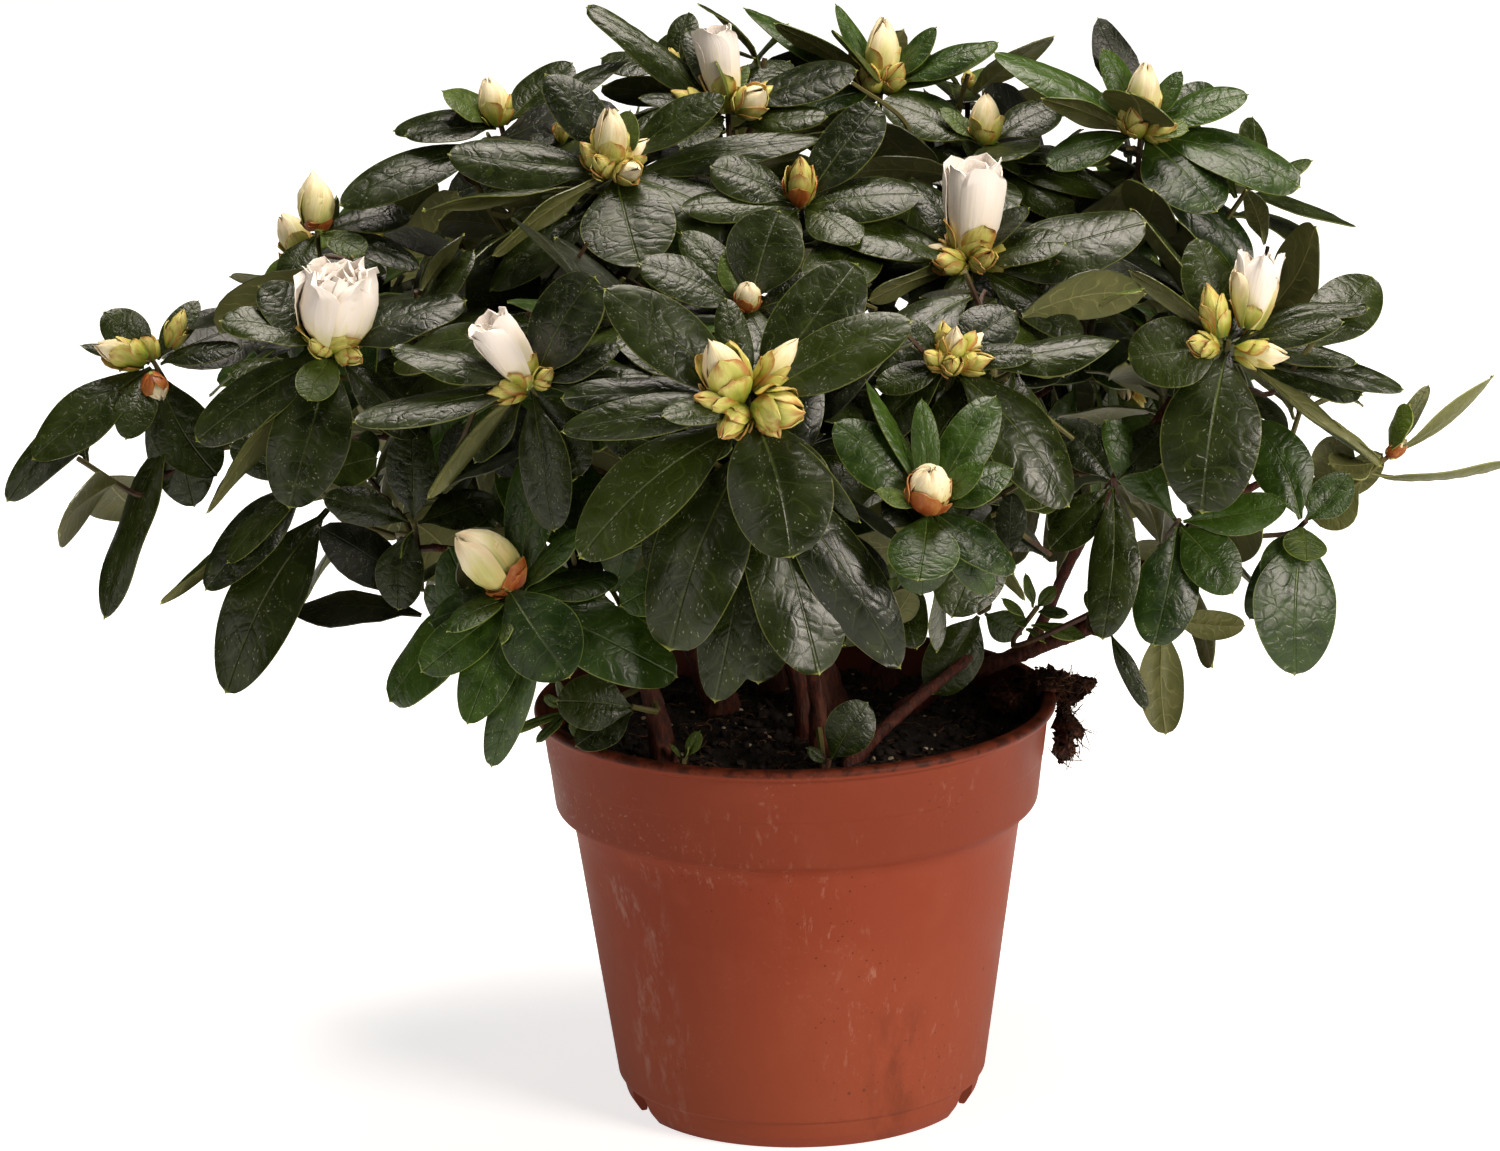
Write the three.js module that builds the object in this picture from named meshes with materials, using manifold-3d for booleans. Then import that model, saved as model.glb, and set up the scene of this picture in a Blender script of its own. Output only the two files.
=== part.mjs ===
// Azalea in its nursery pot, as an assembly of separate closed solids: the pot, the root ball,
// the stems, the boughs that they carry, and one uneven solid for each mass of leaves.
// Millimetres, +Z up. The origin is on the pot's axis, on the ground under the pot.
// The plant's front faces -Y. A bearing turns from +X towards +Y, so the front is at -90.

import * as THREE from 'three';
import { mergeVertices } from 'three/addons/utils/BufferGeometryUtils.js';
import Module from 'manifold-3d';

const wasm = await Module();
wasm.setup();

// ---- driving dimensions ----------------------------------------------------------------------

const CLEARANCE = 0.3; // between two solids that touch
const ROUND_SIDES = 32; // facets round the pot and its root ball

const POT_HEIGHT = 112;
const LIP_RADIUS = 70.5;
const LIP_HEIGHT = 2.4;
const BAND_TOP_RADIUS = 68.3;
const BAND_BOTTOM_RADIUS = 65.1;
const BAND_BOTTOM = 84.5; // height of the band's lower edge
const SHOULDER_BOTTOM = 78.5; // where the shoulder under the band meets the body
const BODY_TOP_RADIUS = 60.1;
const BODY_BOTTOM_RADIUS = 49.8;
const FOOT_HEIGHT = 8;
const FOOT_TOP_RADIUS = 49;
const FOOT_BOTTOM_RADIUS = 45.6;
const WALL = 1.6;
const HUB_RADIUS = 18; // the flat middle of the underside, which stands on the ground too
const DRAIN_HOLES = 8;
const DRAIN_RADIUS = 3.2;
const DRAIN_CIRCLE = 31;
const NOTCH_BEARINGS = [-156, -24, 24, 156]; // of the drainage notches cut through the foot
const NOTCH_WIDTH = 13;
const NOTCH_TOP_WIDTH = 7;

const SOIL_TOP = 104;
const SOIL_EDGE_DROP = 3;
const SOIL_FLAT_RADIUS = 50; // the level middle that the stems stand on
const SOIL_MOUND = 3.5; // how far the soil is heaped up on the right, under the peat clump

const LIMB_SIDES = 7;
const BOUGH_SIDES = 5;
const STEM_STEPS = 5;
const BOUGH_STEPS = 3;
const FLARE_HEIGHT = 7; // how quickly a stem's root flare dies away
const BOUGH_RISE = 0.07; // how far a bough arches, as a share of its length
const BOUGH_SEAT = 6; // how far a bough's end sits inside its mass
const BOUGH_RADIUS = 2.3;
const BOUGH_TIP_RADIUS = 1.4;

const CROWN_GAP = 0.5; // half of the space kept between two neighbouring masses
const CROWN_DETAIL = 2; // subdivisions of the sphere that each mass starts as
const UNEVENNESS = 0.1; // of a mass's surface, as a share of its reach
const TIP_SPREAD = 0.42; // radians over which a shoot draws its mass out

// ---- finishes --------------------------------------------------------------------------------

const FINISHES = {
  pot: new THREE.MeshStandardMaterial({ color: 0x97502f, roughness: 0.45, metalness: 0 }),
  soil: new THREE.MeshStandardMaterial({ color: 0x1c1512, roughness: 0.95, metalness: 0 }),
  bark: new THREE.MeshStandardMaterial({ color: 0x4a2c22, roughness: 0.8, metalness: 0 }),
  leaf: new THREE.MeshStandardMaterial({ color: 0x2c3f24, roughness: 0.4, metalness: 0 }),
};

// ---- geometry helpers ------------------------------------------------------------------------

const UP = new THREE.Vector3(0, 0, 1);

function polar(bearing, reach, height) {
  const angle = THREE.MathUtils.degToRad(bearing);
  return new THREE.Vector3(reach * Math.cos(angle), reach * Math.sin(angle), height);
}

function weld(geometry) {
  geometry.deleteAttribute('normal');
  geometry.deleteAttribute('uv');
  return mergeVertices(geometry, 1e-4);
}

function signedVolume(geometry) {
  const position = geometry.attributes.position;
  const corner = (i) => new THREE.Vector3().fromBufferAttribute(position, geometry.index.array[i]);
  let volume = 0;
  for (let i = 0; i < geometry.index.count; i += 3) {
    volume += corner(i).dot(corner(i + 1).cross(corner(i + 2))) / 6;
  }
  return volume;
}

function faceOut(geometry) {
  if (signedVolume(geometry) < 0) {
    geometry.index.array.reverse();
  }
  return geometry;
}

function toSolid(geometry) {
  const welded = faceOut(weld(geometry));
  return new wasm.Manifold(new wasm.Mesh({
    numProp: 3,
    vertProperties: new Float32Array(welded.attributes.position.array),
    triVerts: new Uint32Array(welded.index.array),
  }));
}

function toGeometry(solid) {
  const mesh = solid.getMesh();
  const geometry = new THREE.BufferGeometry();
  geometry.setAttribute('position', new THREE.BufferAttribute(mesh.vertProperties, 3));
  geometry.setIndex(new THREE.BufferAttribute(mesh.triVerts, 1));
  return geometry;
}

function largestBody(solid) {
  return solid.decompose().reduce((best, body) => (body.volume() > best.volume() ? body : best));
}

function cutBack(solid, neighbours) {
  const left = neighbours.reduce((rest, neighbour) => rest.subtract(neighbour), solid);
  return largestBody(left);
}

function turned(profile) {
  const outline = profile.map(([radius, height]) => new THREE.Vector2(radius, height));
  return new THREE.LatheGeometry(outline, ROUND_SIDES).rotateX(Math.PI / 2);
}

function moveVertices(geometry, move) {
  const position = geometry.attributes.position;
  const vertex = new THREE.Vector3();
  for (let i = 0; i < position.count; i += 1) {
    vertex.fromBufferAttribute(position, i);
    position.setXYZ(i, ...move(vertex, i));
  }
  return geometry;
}

// ---- pot -------------------------------------------------------------------------------------

// The inside of the wall from its rim down to the floor, grown outwards by `grow`.
function innerWall(grow) {
  return [
    [BAND_TOP_RADIUS - WALL + grow, POT_HEIGHT],
    [BAND_BOTTOM_RADIUS - WALL + grow, BAND_BOTTOM + WALL],
    [BODY_TOP_RADIUS - WALL + grow, SHOULDER_BOTTOM],
    [BODY_BOTTOM_RADIUS - WALL + grow, FOOT_HEIGHT + 2 * WALL],
    [BODY_BOTTOM_RADIUS - 3 * WALL + grow, FOOT_HEIGHT + WALL - grow],
  ];
}

function potProfile() {
  const shoulderRise = BAND_BOTTOM - SHOULDER_BOTTOM;
  const shoulderRun = BAND_BOTTOM_RADIUS - BODY_TOP_RADIUS;
  return [
    [0, 0],
    [HUB_RADIUS, 0],
    [HUB_RADIUS + 1, FOOT_HEIGHT],
    [FOOT_TOP_RADIUS - 2 * WALL, FOOT_HEIGHT],
    [FOOT_BOTTOM_RADIUS - WALL, 0],
    [FOOT_BOTTOM_RADIUS, 0],
    [FOOT_TOP_RADIUS - 1, FOOT_HEIGHT / 3],
    [FOOT_TOP_RADIUS, FOOT_HEIGHT],
    [BODY_BOTTOM_RADIUS, FOOT_HEIGHT + 0.6],
    [BODY_TOP_RADIUS, SHOULDER_BOTTOM],
    [BODY_TOP_RADIUS + 0.25 * shoulderRun, SHOULDER_BOTTOM + 0.5 * shoulderRise],
    [BODY_TOP_RADIUS + 0.7 * shoulderRun, SHOULDER_BOTTOM + 0.85 * shoulderRise],
    [BAND_BOTTOM_RADIUS, BAND_BOTTOM],
    [BAND_TOP_RADIUS, POT_HEIGHT - LIP_HEIGHT],
    [LIP_RADIUS, POT_HEIGHT - LIP_HEIGHT],
    [LIP_RADIUS, POT_HEIGHT],
    ...innerWall(0),
    [0, FOOT_HEIGHT + WALL],
  ];
}

function drainHoles() {
  const holes = [];
  for (let i = 0; i < DRAIN_HOLES; i += 1) {
    const place = polar((360 * (i + 0.5)) / DRAIN_HOLES, DRAIN_CIRCLE, FOOT_HEIGHT + WALL / 2);
    const hole = new THREE.CylinderGeometry(DRAIN_RADIUS, DRAIN_RADIUS, 4 * WALL, 8);
    holes.push(toSolid(hole.rotateX(Math.PI / 2).translate(...place)));
  }
  return holes;
}

function footNotches() {
  const outline = new THREE.Shape([
    new THREE.Vector2(-NOTCH_WIDTH / 2, -1),
    new THREE.Vector2(NOTCH_WIDTH / 2, -1),
    new THREE.Vector2(NOTCH_TOP_WIDTH / 2, FOOT_HEIGHT - 1),
    new THREE.Vector2(-NOTCH_TOP_WIDTH / 2, FOOT_HEIGHT - 1),
  ]);
  const depth = 14;
  return NOTCH_BEARINGS.map((bearing) => {
    const cut = new THREE.ExtrudeGeometry(outline, { depth, bevelEnabled: false });
    cut.translate(0, 0, FOOT_BOTTOM_RADIUS - depth / 2).rotateX(Math.PI / 2);
    return toSolid(cut.rotateZ(THREE.MathUtils.degToRad(bearing + 90)));
  });
}

function potSolid() {
  return cutBack(toSolid(turned(potProfile())), [...drainHoles(), ...footNotches()]);
}

// ---- root ball and the peat that hangs over the rim ------------------------------------------

function rootBall(lift) {
  const [rim, ...wall] = innerWall(-CLEARANCE);
  const edgeHeight = SOIL_TOP - SOIL_EDGE_DROP;
  const share = (edgeHeight - wall[0][1]) / (rim[1] - wall[0][1]);
  const edge = THREE.MathUtils.lerp(wall[0][0], rim[0], share);
  const middle = (SOIL_FLAT_RADIUS + edge) / 2;
  const geometry = turned([
    [0, FOOT_HEIGHT + WALL + CLEARANCE],
    ...wall.reverse(),
    [edge, edgeHeight],
    [middle, (edgeHeight + SOIL_TOP) / 2],
    [SOIL_FLAT_RADIUS, SOIL_TOP],
    [0, SOIL_TOP],
  ]);
  moveVertices(geometry, (vertex) => {
    const radius = Math.hypot(vertex.x, vertex.y);
    if (vertex.z > edgeHeight && radius > SOIL_FLAT_RADIUS + 1) {
      const bearing = Math.atan2(vertex.y, vertex.x);
      const heap = SOIL_MOUND * Math.max(0, Math.cos(bearing)) ** 3;
      vertex.z += heap + 0.8 * Math.sin(5 * bearing) + 0.5 * Math.sin(11 * bearing + 2);
    }
    vertex.z += lift;
    return vertex;
  });
  return toSolid(geometry);
}

// The rim's section grown by the clearance, to cut the peat that lies over it.
function rimEnvelope() {
  return toSolid(turned([
    [BAND_BOTTOM_RADIUS - WALL - CLEARANCE, BAND_BOTTOM - CLEARANCE],
    [BAND_BOTTOM_RADIUS + CLEARANCE, BAND_BOTTOM - CLEARANCE],
    [BAND_TOP_RADIUS + CLEARANCE, POT_HEIGHT - LIP_HEIGHT - CLEARANCE],
    [LIP_RADIUS + CLEARANCE, POT_HEIGHT - LIP_HEIGHT - CLEARANCE],
    [LIP_RADIUS + CLEARANCE, POT_HEIGHT + CLEARANCE],
    [BAND_TOP_RADIUS - WALL - CLEARANCE, POT_HEIGHT + CLEARANCE],
    [BAND_BOTTOM_RADIUS - WALL - CLEARANCE, BAND_BOTTOM - CLEARANCE],
  ]));
}

function peatClump() {
  const lumps = [
    { place: [60, 12, 107], size: [9, 13, 5] },
    { place: [69, 8, 112], size: [7.5, 11, 5] },
    { place: [76, 8, 111], size: [6, 6, 4] },
    { place: [74, 1, 104], size: [4.5, 5.5, 7] },
    { place: [72, -3, 96.5], size: [3.2, 3.6, 5.5] },
  ];
  const balls = lumps.map(({ place, size }) => {
    const ball = new THREE.SphereGeometry(1, 8, 5).scale(...size);
    return toSolid(ball.translate(...place));
  });
  const clump = balls.reduce((whole, ball) => whole.add(ball));
  return cutBack(clump, [rimEnvelope(), rootBall(CLEARANCE)]);
}

// ---- stems and boughs ------------------------------------------------------------------------

// Each stem's foot and the few points that it passes through, in X, Y and Z.
const FOOT = SOIL_TOP + CLEARANCE;
const STEMS = {
  main: { route: [[8, 12, FOOT], [7, 12, 116], [0, 10, 140], [-8, 10, 166]], radii: [5.6, 3.6], flare: 2.4 },
  thin: { route: [[3, -6, FOOT], [2, -7, 116], [-6, -9, 140], [-18, -13, 172]], radii: [2.5, 1.9], flare: 1 },
  left: { route: [[-35, -34, FOOT], [-36, -33, 114], [-42, -32, 134], [-56, -36, 156]], radii: [3.4, 2.5], flare: 1.3 },
  left_back: { route: [[-20, 18, FOOT], [-23, 19, 115], [-43, 22, 146], [-72, 16, 174]], radii: [4, 2.7], flare: 1.6 },
  front: { route: [[6, -24, FOOT], [6, -26, 116], [2, -36, 142], [-2, -52, 168]], radii: [3.4, 2.5], flare: 1.4 },
  right: { route: [[30, 10, FOOT], [34, 9, 110], [56, 4, 120], [84, -8, 134]], radii: [3.2, 2.3], flare: 1.3 },
  right_back: { route: [[24, 36, FOOT], [26, 37, 116], [36, 40, 142], [48, 40, 172]], radii: [3.6, 2.6], flare: 1.4 },
  back: { route: [[-6, 38, FOOT], [-7, 40, 116], [-10, 52, 142], [-12, 62, 168]], radii: [3.6, 2.5], flare: 1.4 },
  pruned: { route: [[14, -40, FOOT], [17, -38, 108], [30, -28, 117], [49, -14, 128]], radii: [2.5, 2], flare: 1 },
};

function limbGeometry({ points, radii, flare = 0, sides, steps, foot = false }, grow) {
  const curve = new THREE.CatmullRomCurve3(points);
  const ring = [];
  for (let i = 0; i < sides; i += 1) {
    const turn = (2 * Math.PI * i) / sides;
    ring.push(new THREE.Vector2(Math.cos(turn), Math.sin(turn)));
  }
  const options = { steps, bevelEnabled: false, extrudePath: curve };
  const tube = weld(new THREE.ExtrudeGeometry(new THREE.Shape(ring), options));
  const centres = curve.getSpacedPoints(steps);
  const length = curve.getLength();
  return moveVertices(tube, (vertex) => {
    const distances = centres.map((centre) => centre.distanceTo(vertex));
    const step = distances.indexOf(Math.min(...distances));
    const share = step / steps;
    const swell = flare * Math.exp((-share * length) / FLARE_HEIGHT);
    const radius = THREE.MathUtils.lerp(radii[0], radii[1], share) + swell + grow;
    const end = (step === steps) - (step === 0);
    vertex.sub(centres[step]).setLength(radius).add(centres[step]);
    vertex.addScaledVector(curve.getTangentAt(share), end * grow);
    if (foot && step === 0) {
      vertex.z = points[0].z;
    }
    return vertex;
  });
}

class Limb {
  constructor(name, shape) {
    this.name = name;
    this.curve = new THREE.CatmullRomCurve3(shape.points);
    this.solid = toSolid(limbGeometry(shape, 0));
    this.envelope = toSolid(limbGeometry(shape, CLEARANCE));
  }
}

function stemLimbs() {
  return Object.entries(STEMS).map(([name, { route, radii, flare }]) => new Limb(`stem_${name}`, {
    points: route.map((point) => new THREE.Vector3(...point)),
    radii,
    flare,
    sides: LIMB_SIDES,
    steps: STEM_STEPS,
    foot: true,
  }));
}

function boughLimb(mass, stem) {
  const start = stem.curve.getPointAt(mass.leavesStemAt);
  const towards = start.clone().sub(mass.centre).normalize();
  const seat = mass.reach(towards) - BOUGH_SEAT;
  const end = mass.centre.clone().addScaledVector(towards, seat);
  const middle = start.clone().lerp(end, 0.5);
  middle.z += BOUGH_RISE * start.distanceTo(end);
  return new Limb(`bough_${mass.name}`, {
    points: [start, middle, end],
    radii: [BOUGH_RADIUS, BOUGH_TIP_RADIUS],
    sides: BOUGH_SIDES,
    steps: BOUGH_STEPS,
  });
}

// ---- foliage ---------------------------------------------------------------------------------

// Each mass: where its middle is (bearing, reach from the pot's axis, height), its half-sizes
// (outwards, across, upwards), the shoots that draw it out to a tip, as [bearing, reach, height],
// and the stem that carries it, with how far along that stem its bough leaves.
const MASSES = [
  { name: 'front_centre', at: [-95, 92, 206], size: [44, 40, 42], stem: 'front', leaves: 1,
    tips: [[-94, 143, 226], [-91, 138, 162], [-98, 122, 148]] },
  { name: 'front_left', at: [-128, 98, 224], size: [42, 36, 30], stem: 'left', leaves: 1,
    tips: [[-125, 130, 236]] },
  { name: 'low_left', at: [-128, 104, 168], size: [36, 36, 32], stem: 'left', leaves: 0.72,
    tips: [[-131, 121, 122], [-137, 118, 138], [-112, 112, 150]] },
  { name: 'low_right', at: [-67, 98, 188], size: [40, 34, 34], stem: 'front', leaves: 0.8,
    tips: [[-74, 136, 204], [-62, 118, 160]] },
  { name: 'front_right', at: [-46, 84, 228], size: [44, 42, 30], stem: 'front', leaves: 0.9,
    tips: [[-50, 116, 238], [-40, 62, 267]] },
  { name: 'top_front', at: [-88, 46, 250], size: [36, 40, 26], stem: 'thin', leaves: 0.86,
    tips: [[-96, 92, 244]] },
  { name: 'top_left', at: [-160, 56, 252], size: [48, 44, 28], stem: 'thin', leaves: 1,
    tips: [[174, 90, 278], [-148, 112, 250]] },
  { name: 'top_centre', at: [124, 22, 268], size: [36, 36, 26], stem: 'main', leaves: 1,
    tips: [[158, 54, 296], [107, 31, 298]] },
  { name: 'top_back', at: [40, 44, 260], size: [38, 40, 28], stem: 'main', leaves: 0.82,
    tips: [[60, 35, 296], [28, 66, 286]] },
  { name: 'top_right', at: [0, 92, 250], size: [42, 42, 28], stem: 'right_back', leaves: 1,
    tips: [[-8, 136, 254], [4, 88, 287], [20, 60, 284]] },
  { name: 'upper_left', at: [-166, 112, 226], size: [36, 44, 28], stem: 'left_back', leaves: 0.84,
    tips: [[180, 122, 260], [-153, 130, 238]] },
  { name: 'left_wing', at: [-175, 162, 194], size: [34, 36, 26], stem: 'left_back', leaves: 1,
    tips: [[-175, 209, 176], [-170, 185, 146], [178, 188, 220]] },
  { name: 'left_lower', at: [-159, 126, 176], size: [32, 34, 26], stem: 'left', leaves: 0.88,
    tips: [[-163, 152, 130], [-152, 122, 148]] },
  { name: 'upper_right', at: [-19, 116, 220], size: [36, 40, 28], stem: 'right', leaves: 0.62,
    tips: [[-16, 148, 226], [-22, 132, 242]] },
  { name: 'right_wing', at: [2, 148, 184], size: [32, 34, 21], stem: 'right', leaves: 0.84,
    tips: [[3, 190, 170], [6, 189, 191]] },
  { name: 'right_lower', at: [-23, 113, 166], size: [38, 38, 32], stem: 'right', leaves: 1,
    tips: [[-13, 137, 126], [-22, 107, 112], [-41, 107, 146]] },
  { name: 'back_left', at: [149, 120, 206], size: [44, 44, 34], stem: 'left_back', leaves: 0.66,
    tips: [[152, 162, 194], [140, 130, 234]] },
  { name: 'back_centre_left', at: [108, 96, 220], size: [46, 42, 36], stem: 'back', leaves: 1,
    tips: [[112, 136, 230], [96, 108, 250]] },
  { name: 'back_centre_right', at: [66, 98, 220], size: [46, 42, 36], stem: 'right_back', leaves: 0.7,
    tips: [[68, 134, 236]] },
  { name: 'back_right', at: [34, 116, 202], size: [42, 44, 32], stem: 'right_back', leaves: 0.86,
    tips: [[29, 154, 192], [40, 128, 228]] },
  { name: 'back_low', at: [90, 112, 168], size: [38, 40, 32], stem: 'back', leaves: 0.8,
    tips: [[86, 142, 146], [98, 136, 180]] },
  { name: 'back_low_left', at: [130, 124, 164], size: [38, 40, 34], stem: 'back', leaves: 0.6,
    tips: [[134, 158, 142], [122, 122, 132]] },
  { name: 'back_low_right', at: [50, 122, 164], size: [38, 40, 34], stem: 'right_back', leaves: 0.54,
    tips: [[44, 156, 146], [58, 122, 132]] },
];

class Mass {
  constructor({ name, at, size, tips, stem, leaves }, order) {
    this.name = name;
    this.order = order;
    this.centre = polar(...at);
    this.turn = THREE.MathUtils.degToRad(at[0]);
    this.size = new THREE.Vector3(...size);
    this.tips = tips.map((tip) => polar(...tip).sub(this.centre));
    this.stem = stem;
    this.leavesStemAt = leaves;
    this.walls = [];
  }

  plainReach(direction) {
    const local = direction.clone().applyAxisAngle(UP, -this.turn);
    return 1 / local.divide(this.size).length();
  }

  // Two masses are kept apart by a flat wall between them, nearer to the smaller one.
  wallAgainst(other) {
    const normal = other.centre.clone().sub(this.centre);
    const apart = normal.length();
    normal.divideScalar(apart);
    const mine = this.plainReach(normal);
    const theirs = other.plainReach(normal.clone().negate());
    this.walls.push({ normal, distance: (apart * mine) / (mine + theirs) - CROWN_GAP });
  }

  bumps(direction) {
    const { x, y, z } = direction;
    const phase = 1.7 * this.order;
    return Math.sin(5 * x + phase) * Math.cos(4 * y - phase) + 0.6 * Math.sin(9 * z + 7 * x + 2 * phase);
  }

  reach(direction) {
    let reach = this.plainReach(direction) * (1 + UNEVENNESS * this.bumps(direction));
    for (const tip of this.tips) {
      const draw = Math.exp(-((direction.angleTo(tip) / TIP_SPREAD) ** 2));
      reach += Math.max(0, tip.length() - reach) * draw;
    }
    for (const { normal, distance } of this.walls) {
      const along = direction.dot(normal);
      if (along > 0) {
        reach = Math.min(reach, distance / along);
      }
    }
    return reach;
  }

  solid() {
    const ball = weld(new THREE.IcosahedronGeometry(1, CROWN_DETAIL));
    const directions = [];
    moveVertices(ball, (vertex, i) => {
      directions[i] = vertex.clone().normalize();
      return vertex;
    });
    for (const tip of this.tips) {
      const angles = directions.map((direction) => direction.angleTo(tip));
      directions[angles.indexOf(Math.min(...angles))] = tip.clone().normalize();
    }
    return toSolid(moveVertices(ball, (vertex, i) => (
      vertex.copy(directions[i]).multiplyScalar(this.reach(directions[i])).add(this.centre)
    )));
  }
}

function foliage() {
  const masses = MASSES.map((row, order) => new Mass(row, order));
  for (const mass of masses) {
    masses.filter((other) => other !== mass).forEach((other) => mass.wallAgainst(other));
  }
  return masses;
}

// ---- assembly --------------------------------------------------------------------------------

const azalea = new THREE.Group();

function add(name, solid, finish) {
  const mesh = new THREE.Mesh(toGeometry(solid), finish);
  mesh.name = name;
  azalea.add(mesh);
}

add('pot', potSolid(), FINISHES.pot);
add('root_ball', rootBall(0), FINISHES.soil);
add('peat_clump', peatClump(), FINISHES.soil);

const masses = foliage();
const stems = stemLimbs();
const limbs = [];
for (const stem of stems) {
  add(stem.name, stem.solid, FINISHES.bark);
  limbs.push(stem);
}
for (const mass of masses) {
  const bough = boughLimb(mass, stems.find(({ name }) => name === `stem_${mass.stem}`));
  add(bough.name, cutBack(bough.solid, limbs.map(({ envelope }) => envelope)), FINISHES.bark);
  limbs.push(bough);
}
for (const mass of masses) {
  const leafy = cutBack(mass.solid(), limbs.map(({ envelope }) => envelope));
  add(`leaves_${mass.name}`, leafy, FINISHES.leaf);
}

export default azalea;
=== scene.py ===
"""The potted azalea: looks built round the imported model.

Lengths in the tables are millimetres; everything is built in metres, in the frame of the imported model.
"""

import itertools
import math
import random

import bmesh
import bpy
import numpy as np
from mathutils import Matrix, Vector, noise
from mathutils.bvhtree import BVHTree


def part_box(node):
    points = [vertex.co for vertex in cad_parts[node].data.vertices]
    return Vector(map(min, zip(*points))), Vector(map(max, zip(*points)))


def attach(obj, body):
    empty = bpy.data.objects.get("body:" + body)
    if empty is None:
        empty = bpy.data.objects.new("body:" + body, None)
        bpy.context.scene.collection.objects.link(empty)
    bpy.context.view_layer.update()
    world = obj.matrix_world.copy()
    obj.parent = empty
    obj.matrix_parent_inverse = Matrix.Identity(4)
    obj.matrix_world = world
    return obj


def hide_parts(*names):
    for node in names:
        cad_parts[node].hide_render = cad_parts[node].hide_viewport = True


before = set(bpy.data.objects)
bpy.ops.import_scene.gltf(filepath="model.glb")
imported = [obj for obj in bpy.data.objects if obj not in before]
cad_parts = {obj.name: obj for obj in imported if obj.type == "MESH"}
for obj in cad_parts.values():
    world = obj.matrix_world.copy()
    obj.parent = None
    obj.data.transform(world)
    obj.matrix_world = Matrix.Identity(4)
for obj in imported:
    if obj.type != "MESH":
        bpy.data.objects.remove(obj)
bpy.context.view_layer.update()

MM = 0.001
UP = Vector((0, 0, 1))
TAU = 2 * math.pi

NODES = sorted(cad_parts)
STEM_NODES = [n for n in NODES if n.startswith("stem_")]
BOUGH_NODES = [n for n in NODES if n.startswith("bough_")]
MASS_NODES = [n for n in NODES if n.startswith("leaves_")]

# ---- small helpers ----


def lerp(a, b, t):
    return a + (b - a) * t


def smooth(low, high, value):
    t = np.clip((value - low) / (high - low), 0, 1)
    return t * t * (3 - 2 * t)


def spot(node, fractions):
    """A place given as fractions of a node's box along X, Y and Z."""
    low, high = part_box(node)
    return Vector([lerp(low[i], high[i], fractions[i]) for i in range(3)])


def polar(bearing, elevation):
    """The unit direction at that bearing, from +X towards +Y, and that height above the horizon."""
    b, e = math.radians(bearing), math.radians(elevation)
    return Vector((math.cos(e) * math.cos(b), math.cos(e) * math.sin(b), math.sin(e)))


def random_vector(rng):
    return Vector((rng.gauss(0, 1), rng.gauss(0, 1), rng.gauss(0, 1)))


def square_to(vector, axis):
    """The part of the vector that is square to the unit axis, as a unit vector."""
    rest = vector - axis * vector.dot(axis)
    if rest.length < 1e-4:
        rest = axis.orthogonal()
    return rest.normalized()


def basis(along, face):
    """Columns: along, across, out of the face."""
    face = square_to(face, along)
    across = face.cross(along)
    return np.array([along, across, face]).T


# ---- joined pieces ----

SHARP = math.radians(50)  # between faces that meet in a sharp edge


class Batch:
    """Geometry gathered for one joined piece, with one UV for each corner of its faces."""

    def __init__(self, name, slot, material, replaced=()):
        self.name, self.slot, self.material, self.replaced = name, slot, material, replaced
        self.points, self.faces, self.uvs = [], [], []
        self.count = 0

    def add(self, points, faces, uvs=None):
        faces = np.asarray(faces, int)
        if uvs is None:
            uvs = np.full(faces.shape + (2,), 0.5)
        self.points.append(np.asarray(points, float))
        self.faces.extend((faces + self.count).tolist())
        self.uvs.append(np.asarray(uvs, float).reshape(-1, 2))
        self.count += len(points)

    def add_grid(self, points, sides, first_end, last_end):
        """A closed form: rings of points, so many sides each, with a fan to a point at each end."""
        start, rows = self.count, len(points) // sides
        self.add(list(points) + [first_end, last_end], grid_faces(rows, sides, wrap=True))
        low, high = start, start + (rows - 1) * sides
        below, above = start + rows * sides, start + rows * sides + 1
        for k in range(sides):
            n = (k + 1) % sides
            self.faces.append([low + n, low + k, below])
            self.faces.append([high + k, high + n, above])
        self.uvs.append(np.full((sides * 6, 2), 0.5))

    def triangles(self):
        return sum(len(face) - 2 for face in self.faces)

    def build(self):
        mesh = bpy.data.meshes.new(self.name)
        mesh.from_pydata(np.concatenate(self.points).tolist(), [], self.faces)
        layer = mesh.uv_layers.new(name=UV_NAME)
        layer.uv.foreach_set("vector", np.concatenate(self.uvs).ravel())
        mesh.set_sharp_from_angle(angle=SHARP)
        piece = bpy.data.objects.new(self.name, mesh)
        place(piece, self.slot, self.material, self.replaced)
        return piece


def place(piece, slot, material, replaced=()):
    """Give a piece its material and body, and say which CAD nodes it stands for; the slot argument is not
    used.
    """
    if piece.name not in bpy.context.scene.collection.objects:
        bpy.context.scene.collection.objects.link(piece)
    piece.data.materials.clear()
    piece.data.materials.append(material)
    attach(piece, "root")
    if replaced:
        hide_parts(*replaced)


def grid_faces(rows, columns, wrap=False):
    """Quads of a grid of points stored row by row; wrap joins the last column to the first."""
    last = columns if wrap else columns - 1
    r, c = np.meshgrid(np.arange(rows - 1), np.arange(last), indexing="ij")
    n = (c + 1) % columns
    corners = [r * columns + c, r * columns + n, (r + 1) * columns + n, (r + 1) * columns + c]
    return np.stack(corners, -1).reshape(-1, 4)


# ---- materials ----

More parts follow.
